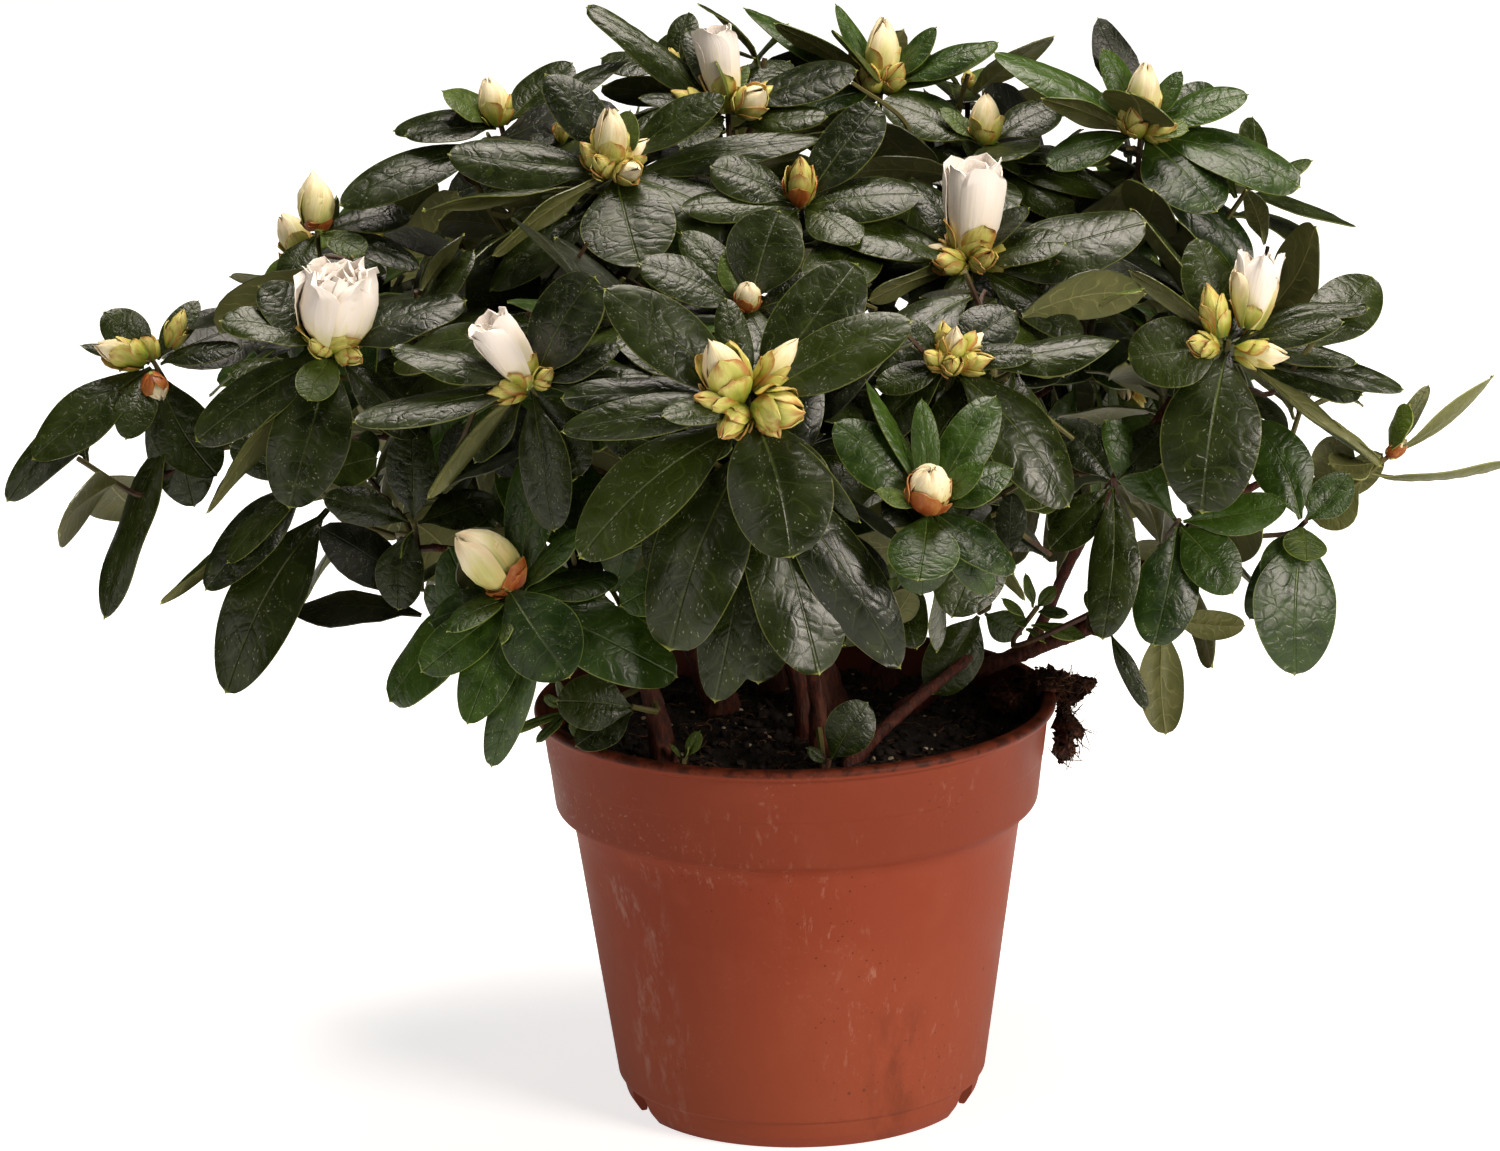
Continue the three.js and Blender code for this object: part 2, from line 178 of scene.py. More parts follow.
UV_NAME = "OFBake"
TILES = 4  # the leaf pattern's tiles along each side of its UV square
TILE_FILL = 0.9  # how much of a tile's width and height the blade covers
VEIN_PAIRS = 7
LEAF_RATIO = 2.1  # length over width, for the scale of the pattern
MIX_SOCKETS = (0, 6, 7)  # the Mix node's share and its two colours ...
MIX_RESULT = 2  # ... and their mix


def linear(display):
    """A display value, 0 to 255, as a scene-linear one."""
    return ((display / 255 + 0.055) / 1.055) ** 2.4 if display > 10 else display / 3294.6


def colour(red, green, blue):
    return linear(red), linear(green), linear(blue), 1


class Term:
    """A node's output, with sums written as usual: each operation adds one Math node."""

    def __init__(self, graph, socket):
        self.graph, self.socket = graph, socket

    def __add__(self, other):
        return self.graph.math("ADD", self, other)

    def __sub__(self, other):
        return self.graph.math("SUBTRACT", self, other)

    def __rsub__(self, other):
        return self.graph.math("SUBTRACT", other, self)

    def __mul__(self, other):
        return self.graph.math("MULTIPLY", self, other)

    def __truediv__(self, other):
        return self.graph.math("DIVIDE", self, other)

    def __abs__(self):
        return self.graph.math("ABSOLUTE", self)


class Graph:
    """A material's node tree, with one short call for each kind of node."""

    def __init__(self, name):
        self.material = bpy.data.materials.new(name)
        self.material.use_nodes = True
        self.tree = self.material.node_tree
        self.tree.nodes.clear()
        self.shader = self.tree.nodes.new("ShaderNodeBsdfPrincipled")
        out = self.tree.nodes.new("ShaderNodeOutputMaterial")
        self.tree.links.new(self.shader.outputs[0], out.inputs[0])

    def feed(self, socket, value):
        if isinstance(value, Term):
            self.tree.links.new(value.socket, socket)
        elif value is not None:
            socket.default_value = value

    def node(self, kind, *values, output=0, **settings):
        node = self.tree.nodes.new("ShaderNode" + kind)
        for key, value in settings.items():
            setattr(node, key, value)
        for socket, value in zip(node.inputs, values):
            self.feed(socket, value)
        return Term(self, node.outputs[output])

    def math(self, operation, *values):
        return self.node("Math", *values, operation=operation)

    def vector(self, operation, *values):
        return self.node("VectorMath", *values, operation=operation)

    def stretch(self, vector, *scale):
        return self.vector("MULTIPLY", vector, scale)

    def split(self, vector):
        """The vector's x, y and z."""
        first = self.node("SeparateXYZ", vector)
        return [Term(self, socket) for socket in first.socket.node.outputs]

    def join(self, x, y):
        return self.node("CombineXYZ", x, y, 0.0)

    def place(self):
        return self.node("TexCoord", output="Object")

    def noise(self, place, scale, detail=2.0, rough=0.5, space="3D", output=0):
        return self.node("TexNoise", place, None, scale, detail, rough, output=output, noise_dimensions=space)

    def cells(self, place, scale, feature="F1", space="3D"):
        cells = self.node("TexVoronoi", feature=feature, voronoi_dimensions=space)
        sockets = cells.socket.node.inputs
        self.feed(sockets["Vector"], place)
        self.feed(sockets["Scale"], scale)
        return cells

    def step(self, value, low, high, to_low=0.0, to_high=1.0):
        return self.node("MapRange", value, low, high, to_low, to_high, interpolation_type="SMOOTHSTEP")

    def ramp(self, value, *stops):
        ramp = self.node("ValToRGB", value)
        elements = ramp.socket.node.color_ramp.elements
        while len(elements) > 1:
            elements.remove(elements[-1])
        elements[0].position, elements[0].color = stops[0]
        for at, tint in stops[1:]:
            elements.new(at).color = tint
        return ramp

    def mix(self, share, first, second):
        mixed = self.node("Mix", data_type="RGBA", output=MIX_RESULT)
        for socket, value in zip(MIX_SOCKETS, (share, first, second)):
            self.feed(mixed.socket.node.inputs[socket], value)
        return mixed

    def finish(self, tint, rough, height=None, depth=1.0, *, specular):
        """The finished material; height, where there is one, stands out by depth metres."""
        sockets = self.shader.inputs
        self.feed(sockets["Base Color"], tint)
        self.feed(sockets["Roughness"], rough)
        sockets["Specular IOR Level"].default_value = specular
        if height is not None:
            bump = self.node("Bump")
            inputs = bump.socket.node.inputs
            inputs["Strength"].default_value = 1.0
            inputs["Distance"].default_value = depth
            self.feed(inputs["Height"], height)
            self.feed(sockets["Normal"], bump)
        return self.material


def pot_material():
    g = Graph("terracotta_plastic")
    place = g.place()
    tall = g.stretch(place, 1.0, 1.0, 0.35)
    x, y, z = g.split(place)
    reach = g.node("VectorMath", g.join(x, y), operation="LENGTH", output="Value")
    down = POT_TOP * MM - z
    mottle = g.noise(place, 60, 4, 0.6)
    tint = g.ramp(g.noise(place, 9, 2), (0.3, colour(136, 58, 36)), (0.7, colour(150, 68, 44)))
    tint = g.mix(g.step(mottle, 0.45, 0.75, 0, 0.3), tint, colour(160, 84, 60))
    # chalky scuffs, stretched up the wall and gathered in patches
    patches = g.step(g.noise(place, 22, 2), 0.52, 0.66)
    scuffs = g.step(g.noise(tall, 420, 5, 0.7), 0.56, 0.7)
    tint = g.mix(patches * scuffs * 0.4, tint, colour(196, 150, 130))
    # splashes of peat
    splash = g.step(g.cells(place, 150), 0.1, 0.055)
    zone = g.step(g.noise(place, 16, 1), 0.56, 0.64)
    tint = g.mix(splash * zone * 0.85, tint, colour(54, 32, 22))
    # a limy run down the left of the front
    wispy = g.step(g.noise(g.stretch(place, 1.0, 1.0, 0.45), 260, 5, 0.7), 0.46, 0.66)
    run = g.step((x * -0.75 + y * -0.66) / reach, 0.972, 0.996)
    run = run * g.step(g.noise(place, 75, 2), 0.4, 0.6) * wispy
    run = run * g.step(down, 30 * MM, 34 * MM, 0, 0.36)
    tint = g.mix(run, tint, colour(190, 164, 150))
    # a brown smudge low on the right of it
    smudge = g.step((x * 0.47 + y * -0.88) / reach, 0.975, 0.998)
    smudge = smudge * g.step(g.noise(tall, 90, 4, 0.65), 0.38, 0.58, 0, 0.8)
    smudge = smudge * g.step(z, 44 * MM, 30 * MM)
    tint = g.mix(smudge, tint, colour(96, 42, 26))
    # limy flecks, most of them on the band, and specks of peat
    flecks = g.step(g.noise(place, 30, 2), 0.5, 0.62) * g.step(g.noise(place, 620, 4, 0.7), 0.58, 0.68)
    tint = g.mix(flecks * g.step(down, 30 * MM, 26 * MM, 0.1, 0.5), tint, colour(204, 166, 148))
    specks = g.step(g.noise(place, 24, 2), 0.52, 0.6) * g.step(g.cells(place, 420), 0.16, 0.08)
    tint = g.mix(specks * 0.7, tint, colour(58, 30, 18))
    # the inner face painted almost black: peat left by watering, and painted shade inside the rim
    middle = (POT_RADIUS - 3.0) * MM - down * 0.12
    inside = g.step(middle - reach, -0.2 * MM, 0.2 * MM) * g.step(down, 27 * MM, 25 * MM)
    peat_and_shade = g.step(g.noise(place, 130, 4, 0.7), 0.3, 0.55, 0.9, 1.0)
    tint = g.mix(inside * peat_and_shade, tint, colour(22, 14, 10))
    # painted light and shade: the wall is painted lighter towards the foot as painted bounce light from the
    # floor, the band is painted darker as painted shade, and the lip is stained with peat and painted darker
    # as painted shade under the foliage
    tint = g.mix(g.step(z, 75 * MM, 5 * MM, 0, 0.4), tint, colour(176, 94, 66))
    # painted shade: the band is made darker than the wall
    tint = g.mix(g.step(down, 30 * MM, 27 * MM, 0, 0.45), tint, colour(112, 50, 30))
    # the lip: peat stains, and painted shade cast by the foliage above
    lip_stain_and_shade = g.step(g.noise(place, 190, 4, 0.7), 0.4, 0.6, 0.45, 0.92)
    tint = g.mix(g.step(down, 2.2 * MM, 1.4 * MM) * lip_stain_and_shade, tint, colour(50, 24, 16))
    rough = g.step(mottle, 0.3, 0.8, 0.46, 0.62)
    return g.finish(tint, rough, g.noise(place, 700, 3, 0.6), 0.06 * MM, specular=0.14)


def soil_material():
    g = Graph("wet_peat")
    place = g.place()
    grain = g.noise(place, 420, 5, 0.7)
    tint = g.ramp(grain, (0.3, colour(8, 5, 3)), (0.55, colour(22, 14, 10)), (0.8, colour(52, 36, 26)))
    rough = g.step(grain, 0.3, 0.8, 0.6, 0.95)
    return g.finish(tint, rough, g.noise(place, 900, 5, 0.7), 0.6 * MM, specular=0.3)


def root_mat_material():
    g = Graph("rooty_peat")
    place = g.place()
    grain = g.noise(place, 300, 5, 0.75)
    tint = g.ramp(grain, (0.35, colour(22, 13, 9)), (0.53, colour(66, 38, 27)), (0.72, colour(132, 86, 64)))
    return g.finish(tint, 0.9, g.noise(place, 1100, 4, 0.7), 0.6 * MM, specular=0.2)


def crumb_material(name, dark, light):
    g = Graph(name)
    place = g.place()
    tint = g.ramp(g.noise(place, 500, 4, 0.7), (0.35, dark), (0.7, light))
    return g.finish(tint, 0.85, g.noise(place, 1500, 3), 0.2 * MM, specular=0.3)


def bark_material():
    g = Graph("peeling_bark")
    along = g.stretch(g.place(), 1.0, 1.0, 0.22)
    fibres = g.noise(along, 900, 5, 0.65)
    flakes = g.noise(along, 260, 3, 0.6)
    tint = g.ramp(fibres, (0.3, colour(26, 11, 7)), (0.55, colour(76, 34, 22)), (0.8, colour(126, 70, 49)))
    tint = g.mix(g.step(flakes, 0.55, 0.7, 0, 0.4), tint, colour(116, 78, 60))
    rough = g.step(fibres, 0.3, 0.8, 0.6, 0.85)
    return g.finish(tint, rough, fibres + flakes, 0.8 * MM, specular=0.3)


def twig_material():
    g = Graph("young_twig")
    place = g.place()
    fibres = g.noise(place, 600, 4, 0.6)
    tint = g.ramp(fibres, (0.3, colour(40, 24, 15)), (0.7, colour(82, 54, 35)))
    tint = g.mix(g.step(g.noise(place, 45, 1), 0.4, 0.55, 0, 0.8), tint, colour(98, 96, 48))
    return g.finish(tint, 0.6, fibres, 0.3 * MM, specular=0.4)


def tile_frame(g):
    """The tile's column and row, and the place inside it: across -1 to 1, along 0 to 1."""
    uv = g.node("UVMap", uv_map=UV_NAME)
    scaled = g.stretch(uv, TILES, TILES, 1)
    cell = g.vector("FLOOR", scaled)
    x, y, _ = g.split(g.vector("SUBTRACT", scaled, cell))
    return cell, (x - 0.5) / (0.5 * TILE_FILL), (y - (0.5 - 0.5 * TILE_FILL)) / TILE_FILL


def leaf_material(name, deep, fresh, pale, margin, gloss):
    """Blades by tile: rows 0 to 2 are upper sides and row 3 is undersides, all from the UV alone."""
    g = Graph(name)
    cell, across, along = tile_frame(g)
    under = g.math("GREATER_THAN", g.split(cell)[1], TILES - 1.5)
    side = abs(across)
    swell = g.math("POWER", g.math("SINE", g.math("POWER", along, 1.25) * math.pi), 0.7)
    x = across * swell
    reach = abs(x)
    flat = g.join(x, along * (2 * LEAF_RATIO))
    seeded = g.vector("ADD", flat, g.stretch(cell, 13.7, 7.3, 0))
    wander = g.noise(seeded, 1.6, 1, space="2D", output=1)
    shifted = g.vector("SUBTRACT", wander, (0.5, 0.5, 0.5))
    bent = g.vector("ADD", seeded, g.stretch(shifted, 0.5, 0.5, 0))
    # midrib, side veins that sweep towards the tip, and the network of cells between them
    midrib = g.step(reach, 0.04, 0.008)
    sweep = along * VEIN_PAIRS - reach * 1.3 + g.split(wander)[0] * 1.6
    saw = abs(g.math("FRACT", sweep) - 0.5)
    veins = g.step(saw, 0.08, 0.015) * g.step(side, 0.95, 0.6)
    cell_edge = g.cells(bent, 3.2, "DISTANCE_TO_EDGE", "2D")
    crease_net = g.step(cell_edge, 0.035, 0.0)
    grain = g.noise(seeded, 42, 2, space="2D")
    pillow = g.step(cell_edge, 0.0, 0.2)
    between = g.step(saw, 0.02, 0.36)
    # the upper side, from the tile's own shade to veins, the cell net's creases darkened as painted shade,
    # and pale flecks
    blotch = g.noise(seeded, 1.3, 1, space="2D")
    hue = g.node("TexWhiteNoise", cell, noise_dimensions="2D")
    body = g.mix(g.step(blotch * 0.6 + hue * 0.5, 0.25, 0.95), deep, fresh)
    top = g.mix(midrib * g.step(along, 0.75, 0.05, 0.1, 0.6), body, pale)
    top = g.mix(veins * 0.12, top, pale)
    # painted shade: the creases of the cell net are darkened
    top = g.mix(crease_net * g.step(blotch, 0.42, 0.62, 0.1, 0.5), top, colour(10, 14, 7))
    flecks = g.step(g.cells(g.stretch(bent, 1.0, 0.4, 1), 13, space="2D"), 0.16, 0.05)
    fleck_zone = g.step(g.noise(seeded, 2.6, 2, space="2D"), 0.5, 0.62)
    top = g.mix(flecks * fleck_zone * 0.4, top, colour(186, 192, 168))
    # the underside, and the margin and the point's tip on both
    ribs = g.math("MAXIMUM", midrib * 0.8, veins * 0.5)
    below = g.mix(ribs, colour(84, 88, 42), colour(138, 136, 80))
    below = g.mix(g.step(blotch, 0.4, 0.7, 0, 0.6), below, colour(102, 102, 56))
    tint = g.mix(under, top, below)
    tint = g.mix(g.step(side, 0.97, 0.992, 0, 0.7), tint, margin)
    tint = g.mix(g.step(along, 0.985, 0.998, 0, 0.7), tint, colour(170, 178, 88))
    relief = pillow * 0.42 + between * 0.75 + grain * 0.26 - midrib * 2.2
    relief = relief * (1.0 - under * 1.7)
    rough = under * 0.25 + gloss + crease_net * 0.15 + (blotch - 0.5) * 0.25
    return g.finish(tint, rough, relief, 0.09 * MM, specular=0.44)


def petal_material(name, base, middle, tip, rough, edge, edge_share, stained=0.0):
    """Petals and scales shade from base to tip along the tile's height, with fine veins running up."""
    g = Graph(name)
    cell, across, along = tile_frame(g)
    seeded = g.vector("ADD", g.join(across, along), g.stretch(cell, 3.1, 5.7, 0))
    lines = g.noise(g.stretch(seeded, 9.0, 1.2, 1), 1.0, 2, space="2D")
    blotch = g.noise(seeded, 1.4, 2, space="2D")
    share = along + (blotch - 0.5) * 0.7
    tint = g.ramp(share, (0.05, base), (0.45, middle), (0.85, tip))
    tint = g.mix(g.step(lines, 0.5, 0.75, 0, 0.12), tint, base)
    rim = g.math("MAXIMUM", g.step(abs(across), 0.45, 0.95), g.step(along, 0.72, 0.98))
    tint = g.mix(rim * g.step(blotch, 0.38, 0.6) * edge_share, tint, edge)
    spots = g.step(g.noise(seeded, 2.6, 3, 0.6, space="2D"), 0.52, 0.7, 0, stained)
    tint = g.mix(spots, tint, edge)
    return g.finish(tint, rough, lines, 0.1 * MM, specular=0.4)


# ---- turned and swept forms ----


ROUND_STEPS = 4
CURVE_STEPS = 10


def rounded(profile):
    """A list of (radius, height, rounding) corners as a smooth outline."""
    line = []
    corners = [Vector((r, z)) for r, z, _ in profile]
    for i, corner in enumerate(corners):
        reach = profile[i][2]
        if reach == 0 or i in (0, len(corners) - 1):
            line.append(corner)
            continue
        before = corner + (corners[i - 1] - corner).normalized() * reach
        after = corner + (corners[i + 1] - corner).normalized() * reach
        for k in range(ROUND_STEPS + 1):
            t = k / ROUND_STEPS
            line.append(before.lerp(corner, t).lerp(corner.lerp(after, t), t))
    return [(p.x, p.y) for p in line]


def lathe(profile, sides):
    """A closed mesh turned from an outline that starts and ends on the axis."""
    bm = bmesh.new()
    first = bm.verts.new((0, 0, profile[0][1] * MM))
    last = bm.verts.new((0, 0, profile[-1][1] * MM))
    rings = []
    for radius, height in profile[1:-1]:
        ring = []
        for k in range(sides):
            a = TAU * k / sides
            ring.append(bm.verts.new((radius * MM * math.cos(a), radius * MM * math.sin(a), height * MM)))
        rings.append(ring)
    for k in range(sides):
        n = (k + 1) % sides
        bm.faces.new((first, rings[0][n], rings[0][k]))
        bm.faces.new((last, rings[-1][k], rings[-1][n]))
        for low, high in zip(rings, rings[1:]):
            bm.faces.new((low[k], low[n], high[n], high[k]))
    bmesh.ops.recalc_face_normals(bm, faces=bm.faces)
    return bm


def mesh_object(name, bm):
    mesh = bpy.data.meshes.new(name)
    bm.to_mesh(mesh)
    bm.free()
    piece = bpy.data.objects.new(name, mesh)
    bpy.context.scene.collection.objects.link(piece)
    return piece


def applied(piece):
    """Replace the piece's mesh by what its modifiers make of it."""
    bpy.context.view_layer.update()
    evaluated = piece.evaluated_get(bpy.context.evaluated_depsgraph_get())
    result = bpy.data.meshes.new_from_object(evaluated)
    piece.modifiers.clear()
    piece.data = result


def smooth_line(points, spacing):
    """Evenly spaced points on a smooth curve through the given ones, and each one's share of its length."""
    points = [Vector(p) for p in points]
    ends = [points[0] * 2 - points[1]] + points + [points[-1] * 2 - points[-2]]
    fine = []
    for a, b, c, d in zip(ends, ends[1:], ends[2:], ends[3:]):
        for k in range(CURVE_STEPS):
            t = k / CURVE_STEPS
            fine.append(0.5 * ((2 * b) + (c - a) * t + (2 * a - 5 * b + 4 * c - d) * t * t
                               + (3 * b - a - 3 * c + d) * t ** 3))
    fine.append(points[-1])
    steps = [0.0]
    for a, b in zip(fine, fine[1:]):
        steps.append(steps[-1] + (b - a).length)
    count = max(2, round(steps[-1] / spacing))
    wanted = np.linspace(0, steps[-1], count + 1)
    line = np.array([np.interp(wanted, steps, [p[i] for p in fine]) for i in range(3)]).T
    return line, wanted / steps[-1]


def sweep(batch, line, radii, sides, relief=None):
    """A closed round tube along the line; relief(point) is added to its radius."""
    tangents = np.gradient(line, axis=0)
    tangents /= np.linalg.norm(tangents, axis=1)[:, None]
    normal = Vector(tangents[0]).orthogonal().normalized()
    points = []
    for centre, tangent, width in zip(line, tangents, radii):
        centre, tangent = Vector(centre), Vector(tangent)
        normal = square_to(normal, tangent)
        other = tangent.cross(normal)
        for k in range(sides):
            a = TAU * k / sides
            out = normal * math.cos(a) + other * math.sin(a)
            radius = width
            if relief:
                radius += relief(centre + out * radius)
            points.append(centre + out * radius)
    batch.add_grid(points, sides, Vector(line[0]), Vector(line[-1]))


# ---- pot ----

POT_LOW, POT_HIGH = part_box("pot")
POT_RADIUS = (POT_HIGH.x - POT_LOW.x) / 2 / MM
POT_TOP = POT_HIGH.z / MM
POT_SIDES = 144
POT_FOOT = 8.0
POT_CREASE = math.radians(32)
WALL = 1.6
# radius under the lip's radius, height under the rim, rounding of the corner
POT_OUTSIDE = [
    (22.7, 108.6, 0.8), (21.5, 104.2, 0.4), (20.6, 103.6, 0.5), (10.4, 33.5, 2.5), (8.6, 30.2, 1.8),
    (5.6, 28.0, 1.0), (5.3, 26.8, 0.4), (3.9, 15.2, 0.2), (3.7, 14.9, 0.2), (2.25, 3.4, 0.7), (0.6, 2.7, 0.6),
    (0.0, 1.3, 0.8), (0.9, 0.0, 0.7),
]
POT_INSIDE = [(3.8, 0.0, 0.8), (7.0, 26.0, 2.0), (12.0, 33.5, 2.0), (22.3, 100.8, 1.5), (25.5, 102.4, 0.8)]
NOTCH = [(-6.5, -1.0), (6.5, -1.0), (4.2, POT_FOOT - 1.6), (3.4, POT_FOOT - 1), (-3.4, POT_FOOT - 1),
         (-4.2, POT_FOOT - 1.6)]
NOTCH_BEARINGS = (-156, -24, 24, 156)
NOTCH_FROM, NOTCH_TO = 38, 54
HOLES = 8
HOLE_RADIUS = 3.2
HOLE_REACH = 31


def inner_radius(height):
    """The radius of the wall's inner face at a height."""
    rows = [(POT_TOP - down, POT_RADIUS - inset) for inset, down, _ in POT_INSIDE[::-1]]
    return float(np.interp(height, [h for h, _ in rows], [r for _, r in rows]))


def notch_cutter(bearing):
    """A wedge that cuts one notch in the foot."""
    bm = bmesh.new()
    near = [bm.verts.new((NOTCH_FROM * MM, y * MM, z * MM)) for y, z in NOTCH]
    far = [bm.verts.new((NOTCH_TO * MM, y * MM, z * MM)) for y, z in NOTCH]
    bm.faces.new(near[::-1])
    bm.faces.new(far)
    for k in range(len(NOTCH)):
        n = (k + 1) % len(NOTCH)
        bm.faces.new((near[k], near[n], far[n], far[k]))
    bmesh.ops.recalc_face_normals(bm, faces=bm.faces)
    cutter = mesh_object("cut", bm)
    cutter.rotation_euler.z = math.radians(bearing)
    return cutter


def hole_cutter(k):
    """A plug that cuts one drain hole."""
    bm = bmesh.new()
    a = TAU * (k + 0.5) / HOLES
    place = (HOLE_REACH * MM * math.cos(a), HOLE_REACH * MM * math.sin(a), (POT_FOOT + WALL / 2) * MM)
    radius = HOLE_RADIUS * MM
    bmesh.ops.create_cone(bm, cap_ends=True, segments=20, radius1=radius, radius2=radius, depth=6 * MM,
                          matrix=Matrix.Translation(place))
    return mesh_object("cut", bm)


def build_pot():
    profile = [(0, 0.0, 0), (17.4, 0.0, 0.5), (18.8, POT_FOOT, 0.8), (43.8, POT_FOOT, 0.8),
               (POT_RADIUS - 26.5, 0.0, 0.4), (POT_RADIUS - 24.9, 0.0, 0.5)]
    profile += [(POT_RADIUS - inset, POT_TOP - down, turn) for inset, down, turn in POT_OUTSIDE + POT_INSIDE]
    profile.append((0, POT_FOOT + WALL, 0))
    pot = mesh_object("nursery_pot", lathe(rounded(profile), POT_SIDES))
    cutters = [notch_cutter(bearing) for bearing in NOTCH_BEARINGS] + [hole_cutter(k) for k in range(HOLES)]
    for cutter in cutters:
        cut = pot.modifiers.new("cut", "BOOLEAN")
        cut.operation = "DIFFERENCE"
        cut.object = cutter
    applied(pot)
    for cutter in cutters:
        bpy.data.objects.remove(cutter)
    pot.data.set_sharp_from_angle(angle=POT_CREASE)
    place(pot, "pot_plastic", pot_material(), ["pot"])


# ---- soil ----

SOIL_TOP = 104.0
SOIL_FLAT = 50.0
SOIL_REACH = 64.0
SOIL_RINGS = 64
SOIL_SIDES = 200
SOIL_LEVELS = (94, 84, 78, 60, 40, 20, 12)  # rings down the pot's wall
SOIL_BOTTOM = 11


def rough_noise(point, scale, octaves=4):
    return noise.fractal(Vector(point) * scale, 0.9, 2.1, octaves)


def soil_height(x, y):
    """Height of the soil, in mm, at a place in mm."""
    edge = max(0.0, (math.hypot(x, y) - SOIL_FLAT) / 14)
    heap = 3.2 * edge * max(0.0, math.cos(math.atan2(y, x))) ** 3
    lumps = 1.3 * rough_noise((x, y, 3.0), 0.075) + 0.7 * rough_noise((x, y, 9.0), 0.3, 3)
    return SOIL_TOP - 0.2 - 3.0 * min(1.0, edge) ** 1.5 + heap + lumps


def build_soil(material):
    points = []

    def add_point(a, reach, height=None):
        x, y = reach * math.cos(a), reach * math.sin(a)
        points.append(Vector((x, y, soil_height(x, y) if height is None else height)) * MM)

    bearings = [TAU * k / SOIL_SIDES for k in range(SOIL_SIDES)]
    for i in range(1, SOIL_RINGS + 1):
        share = i / SOIL_RINGS
        for a in bearings:
            reach = SOIL_REACH * share
            height = soil_height(reach * math.cos(a), reach * math.sin(a))
            add_point(a, (inner_radius(height) - 0.35) * share, height if i == SOIL_RINGS else None)
    for height in SOIL_LEVELS:
        for a in bearings:
            add_point(a, inner_radius(height) - 0.4, height)
    batch = Batch("potting_soil", "peat", material, ["root_ball"])
    middle, bottom = Vector((0, 0, soil_height(0, 0))) * MM, Vector((0, 0, SOIL_BOTTOM * MM))
    batch.add_grid(points, SOIL_SIDES, middle, bottom)
    piece = batch.build()
    bm = bmesh.new()
    bm.from_mesh(piece.data)
    bmesh.ops.recalc_face_normals(bm, faces=bm.faces)
    bm.to_mesh(piece.data)
    bm.free()


CRUMBS, GRAINS, ROOTS = 1700, 110, 120
CRUMB_SIZES = (0.4, 0.5, 0.6, 0.7, 0.9, 1.1, 1.5)
FIBRE_STEPS = 6


def lump_forms():
    """Unit lumps of two levels of detail, to be scaled and roughened."""
    forms = []
    for level in (1, 2):
        bm = bmesh.new()
        bmesh.ops.create_icosphere(bm, subdivisions=level, radius=1)
        points = np.array([v.co for v in bm.verts])
        faces = np.array([[v.index for v in f.verts] for f in bm.faces])
        bm.free()
        forms.append((points, faces))
    return forms


def add_lump(batch, form, at, size, rng, squash=0.7):
    """A crumb: a unit lump, swollen, stretched and turned at random."""
    points, faces = form
    shift = Vector((rng.uniform(0, 90), rng.uniform(0, 90), rng.uniform(0, 90)))
    swell = np.array([1 + 0.42 * noise.noise(Vector(p) * 1.3 + shift) for p in points])
    stretch = np.array([rng.uniform(0.7, 1.3), rng.uniform(0.7, 1.3), squash * rng.uniform(0.7, 1.2)])
    turn = rng.uniform(0, TAU)
    pole = Vector((rng.gauss(0, 0.4), rng.gauss(0, 0.4), 1)).normalized()
    matrix = np.array(Matrix.Rotation(turn, 3, pole))
    batch.add((points * swell[:, None] * stretch * size) @ matrix.T + np.array(at), faces)


def add_fibre(batch, start, heading, length, radius, rng, ground=None, curl=0.5):
    """A thin bent root or straw; on the ground it follows the soil."""
    at, points = Vector(start), [Vector(start)]
    heading = Vector(heading).normalized()
    for _ in range(FIBRE_STEPS):
        sway = Vector((rng.gauss(0, curl), rng.gauss(0, curl), rng.gauss(0, curl * 0.5)))
        heading = (heading + sway).normalized()
        at = at + heading * length / FIBRE_STEPS
        if ground:
            at.z = ground(at.x / MM, at.y / MM) * MM + rng.uniform(0.1, 0.9) * MM
        points.append(at.copy())
    line, share = smooth_line(points, length / 9)
    sweep(batch, line, radius * (1 - 0.6 * share), 4)


def peat_batch(name, dark, light):
    return Batch(name, "peat", crumb_material(name, colour(*dark), colour(*light)))


def soil_spot(rng, radius):
    """A random place on the soil, in mm, and its distance from the middle."""
    a, reach = rng.uniform(0, TAU), radius * math.sqrt(rng.random())
    return reach * math.cos(a), reach * math.sin(a), reach


def build_litter():
    """Crumbs, pale grit and fine roots lying on the soil."""
    rng = random.Random(11)
    coarse, fine = lump_forms()
    crumbs = peat_batch("peat_crumbs", (7, 5, 3), (38, 25, 17))
    grit = peat_batch("pale_grit", (120, 96, 70), (196, 180, 156))
    straw = peat_batch("fine_roots", (46, 28, 18), (120, 84, 54))
    for _ in range(CRUMBS):
        x, y, reach = soil_spot(rng, 63.5)
        size = rng.choice(CRUMB_SIZES) * rng.uniform(0.8, 1.2)
        height = soil_height(x, y) + 0.15 * size
        if reach + size <= inner_radius(height) - 0.3:
            form = fine if size > 1.3 else coarse
            add_lump(crumbs, form, (x * MM, y * MM, height * MM), size * MM, rng)
    for _ in range(GRAINS):
        x, y, _ = soil_spot(rng, 61)
        size = rng.uniform(0.3, 0.85)
        height = soil_height(x, y) + 0.4 * size
        add_lump(grit, coarse, (x * MM, y * MM, height * MM), size * MM, rng)
    for _ in range(ROOTS):
        x, y, _ = soil_spot(rng, 52)
        turn = rng.uniform(0, TAU)
        start, heading = (x * MM, y * MM, soil_height(x, y) * MM), (math.cos(turn), math.sin(turn), 0)
        length = rng.uniform(5, 14) * MM
        add_fibre(straw, start, heading, length, rng.uniform(0.12, 0.3) * MM, rng, soil_height)
    return crumbs, grit, straw


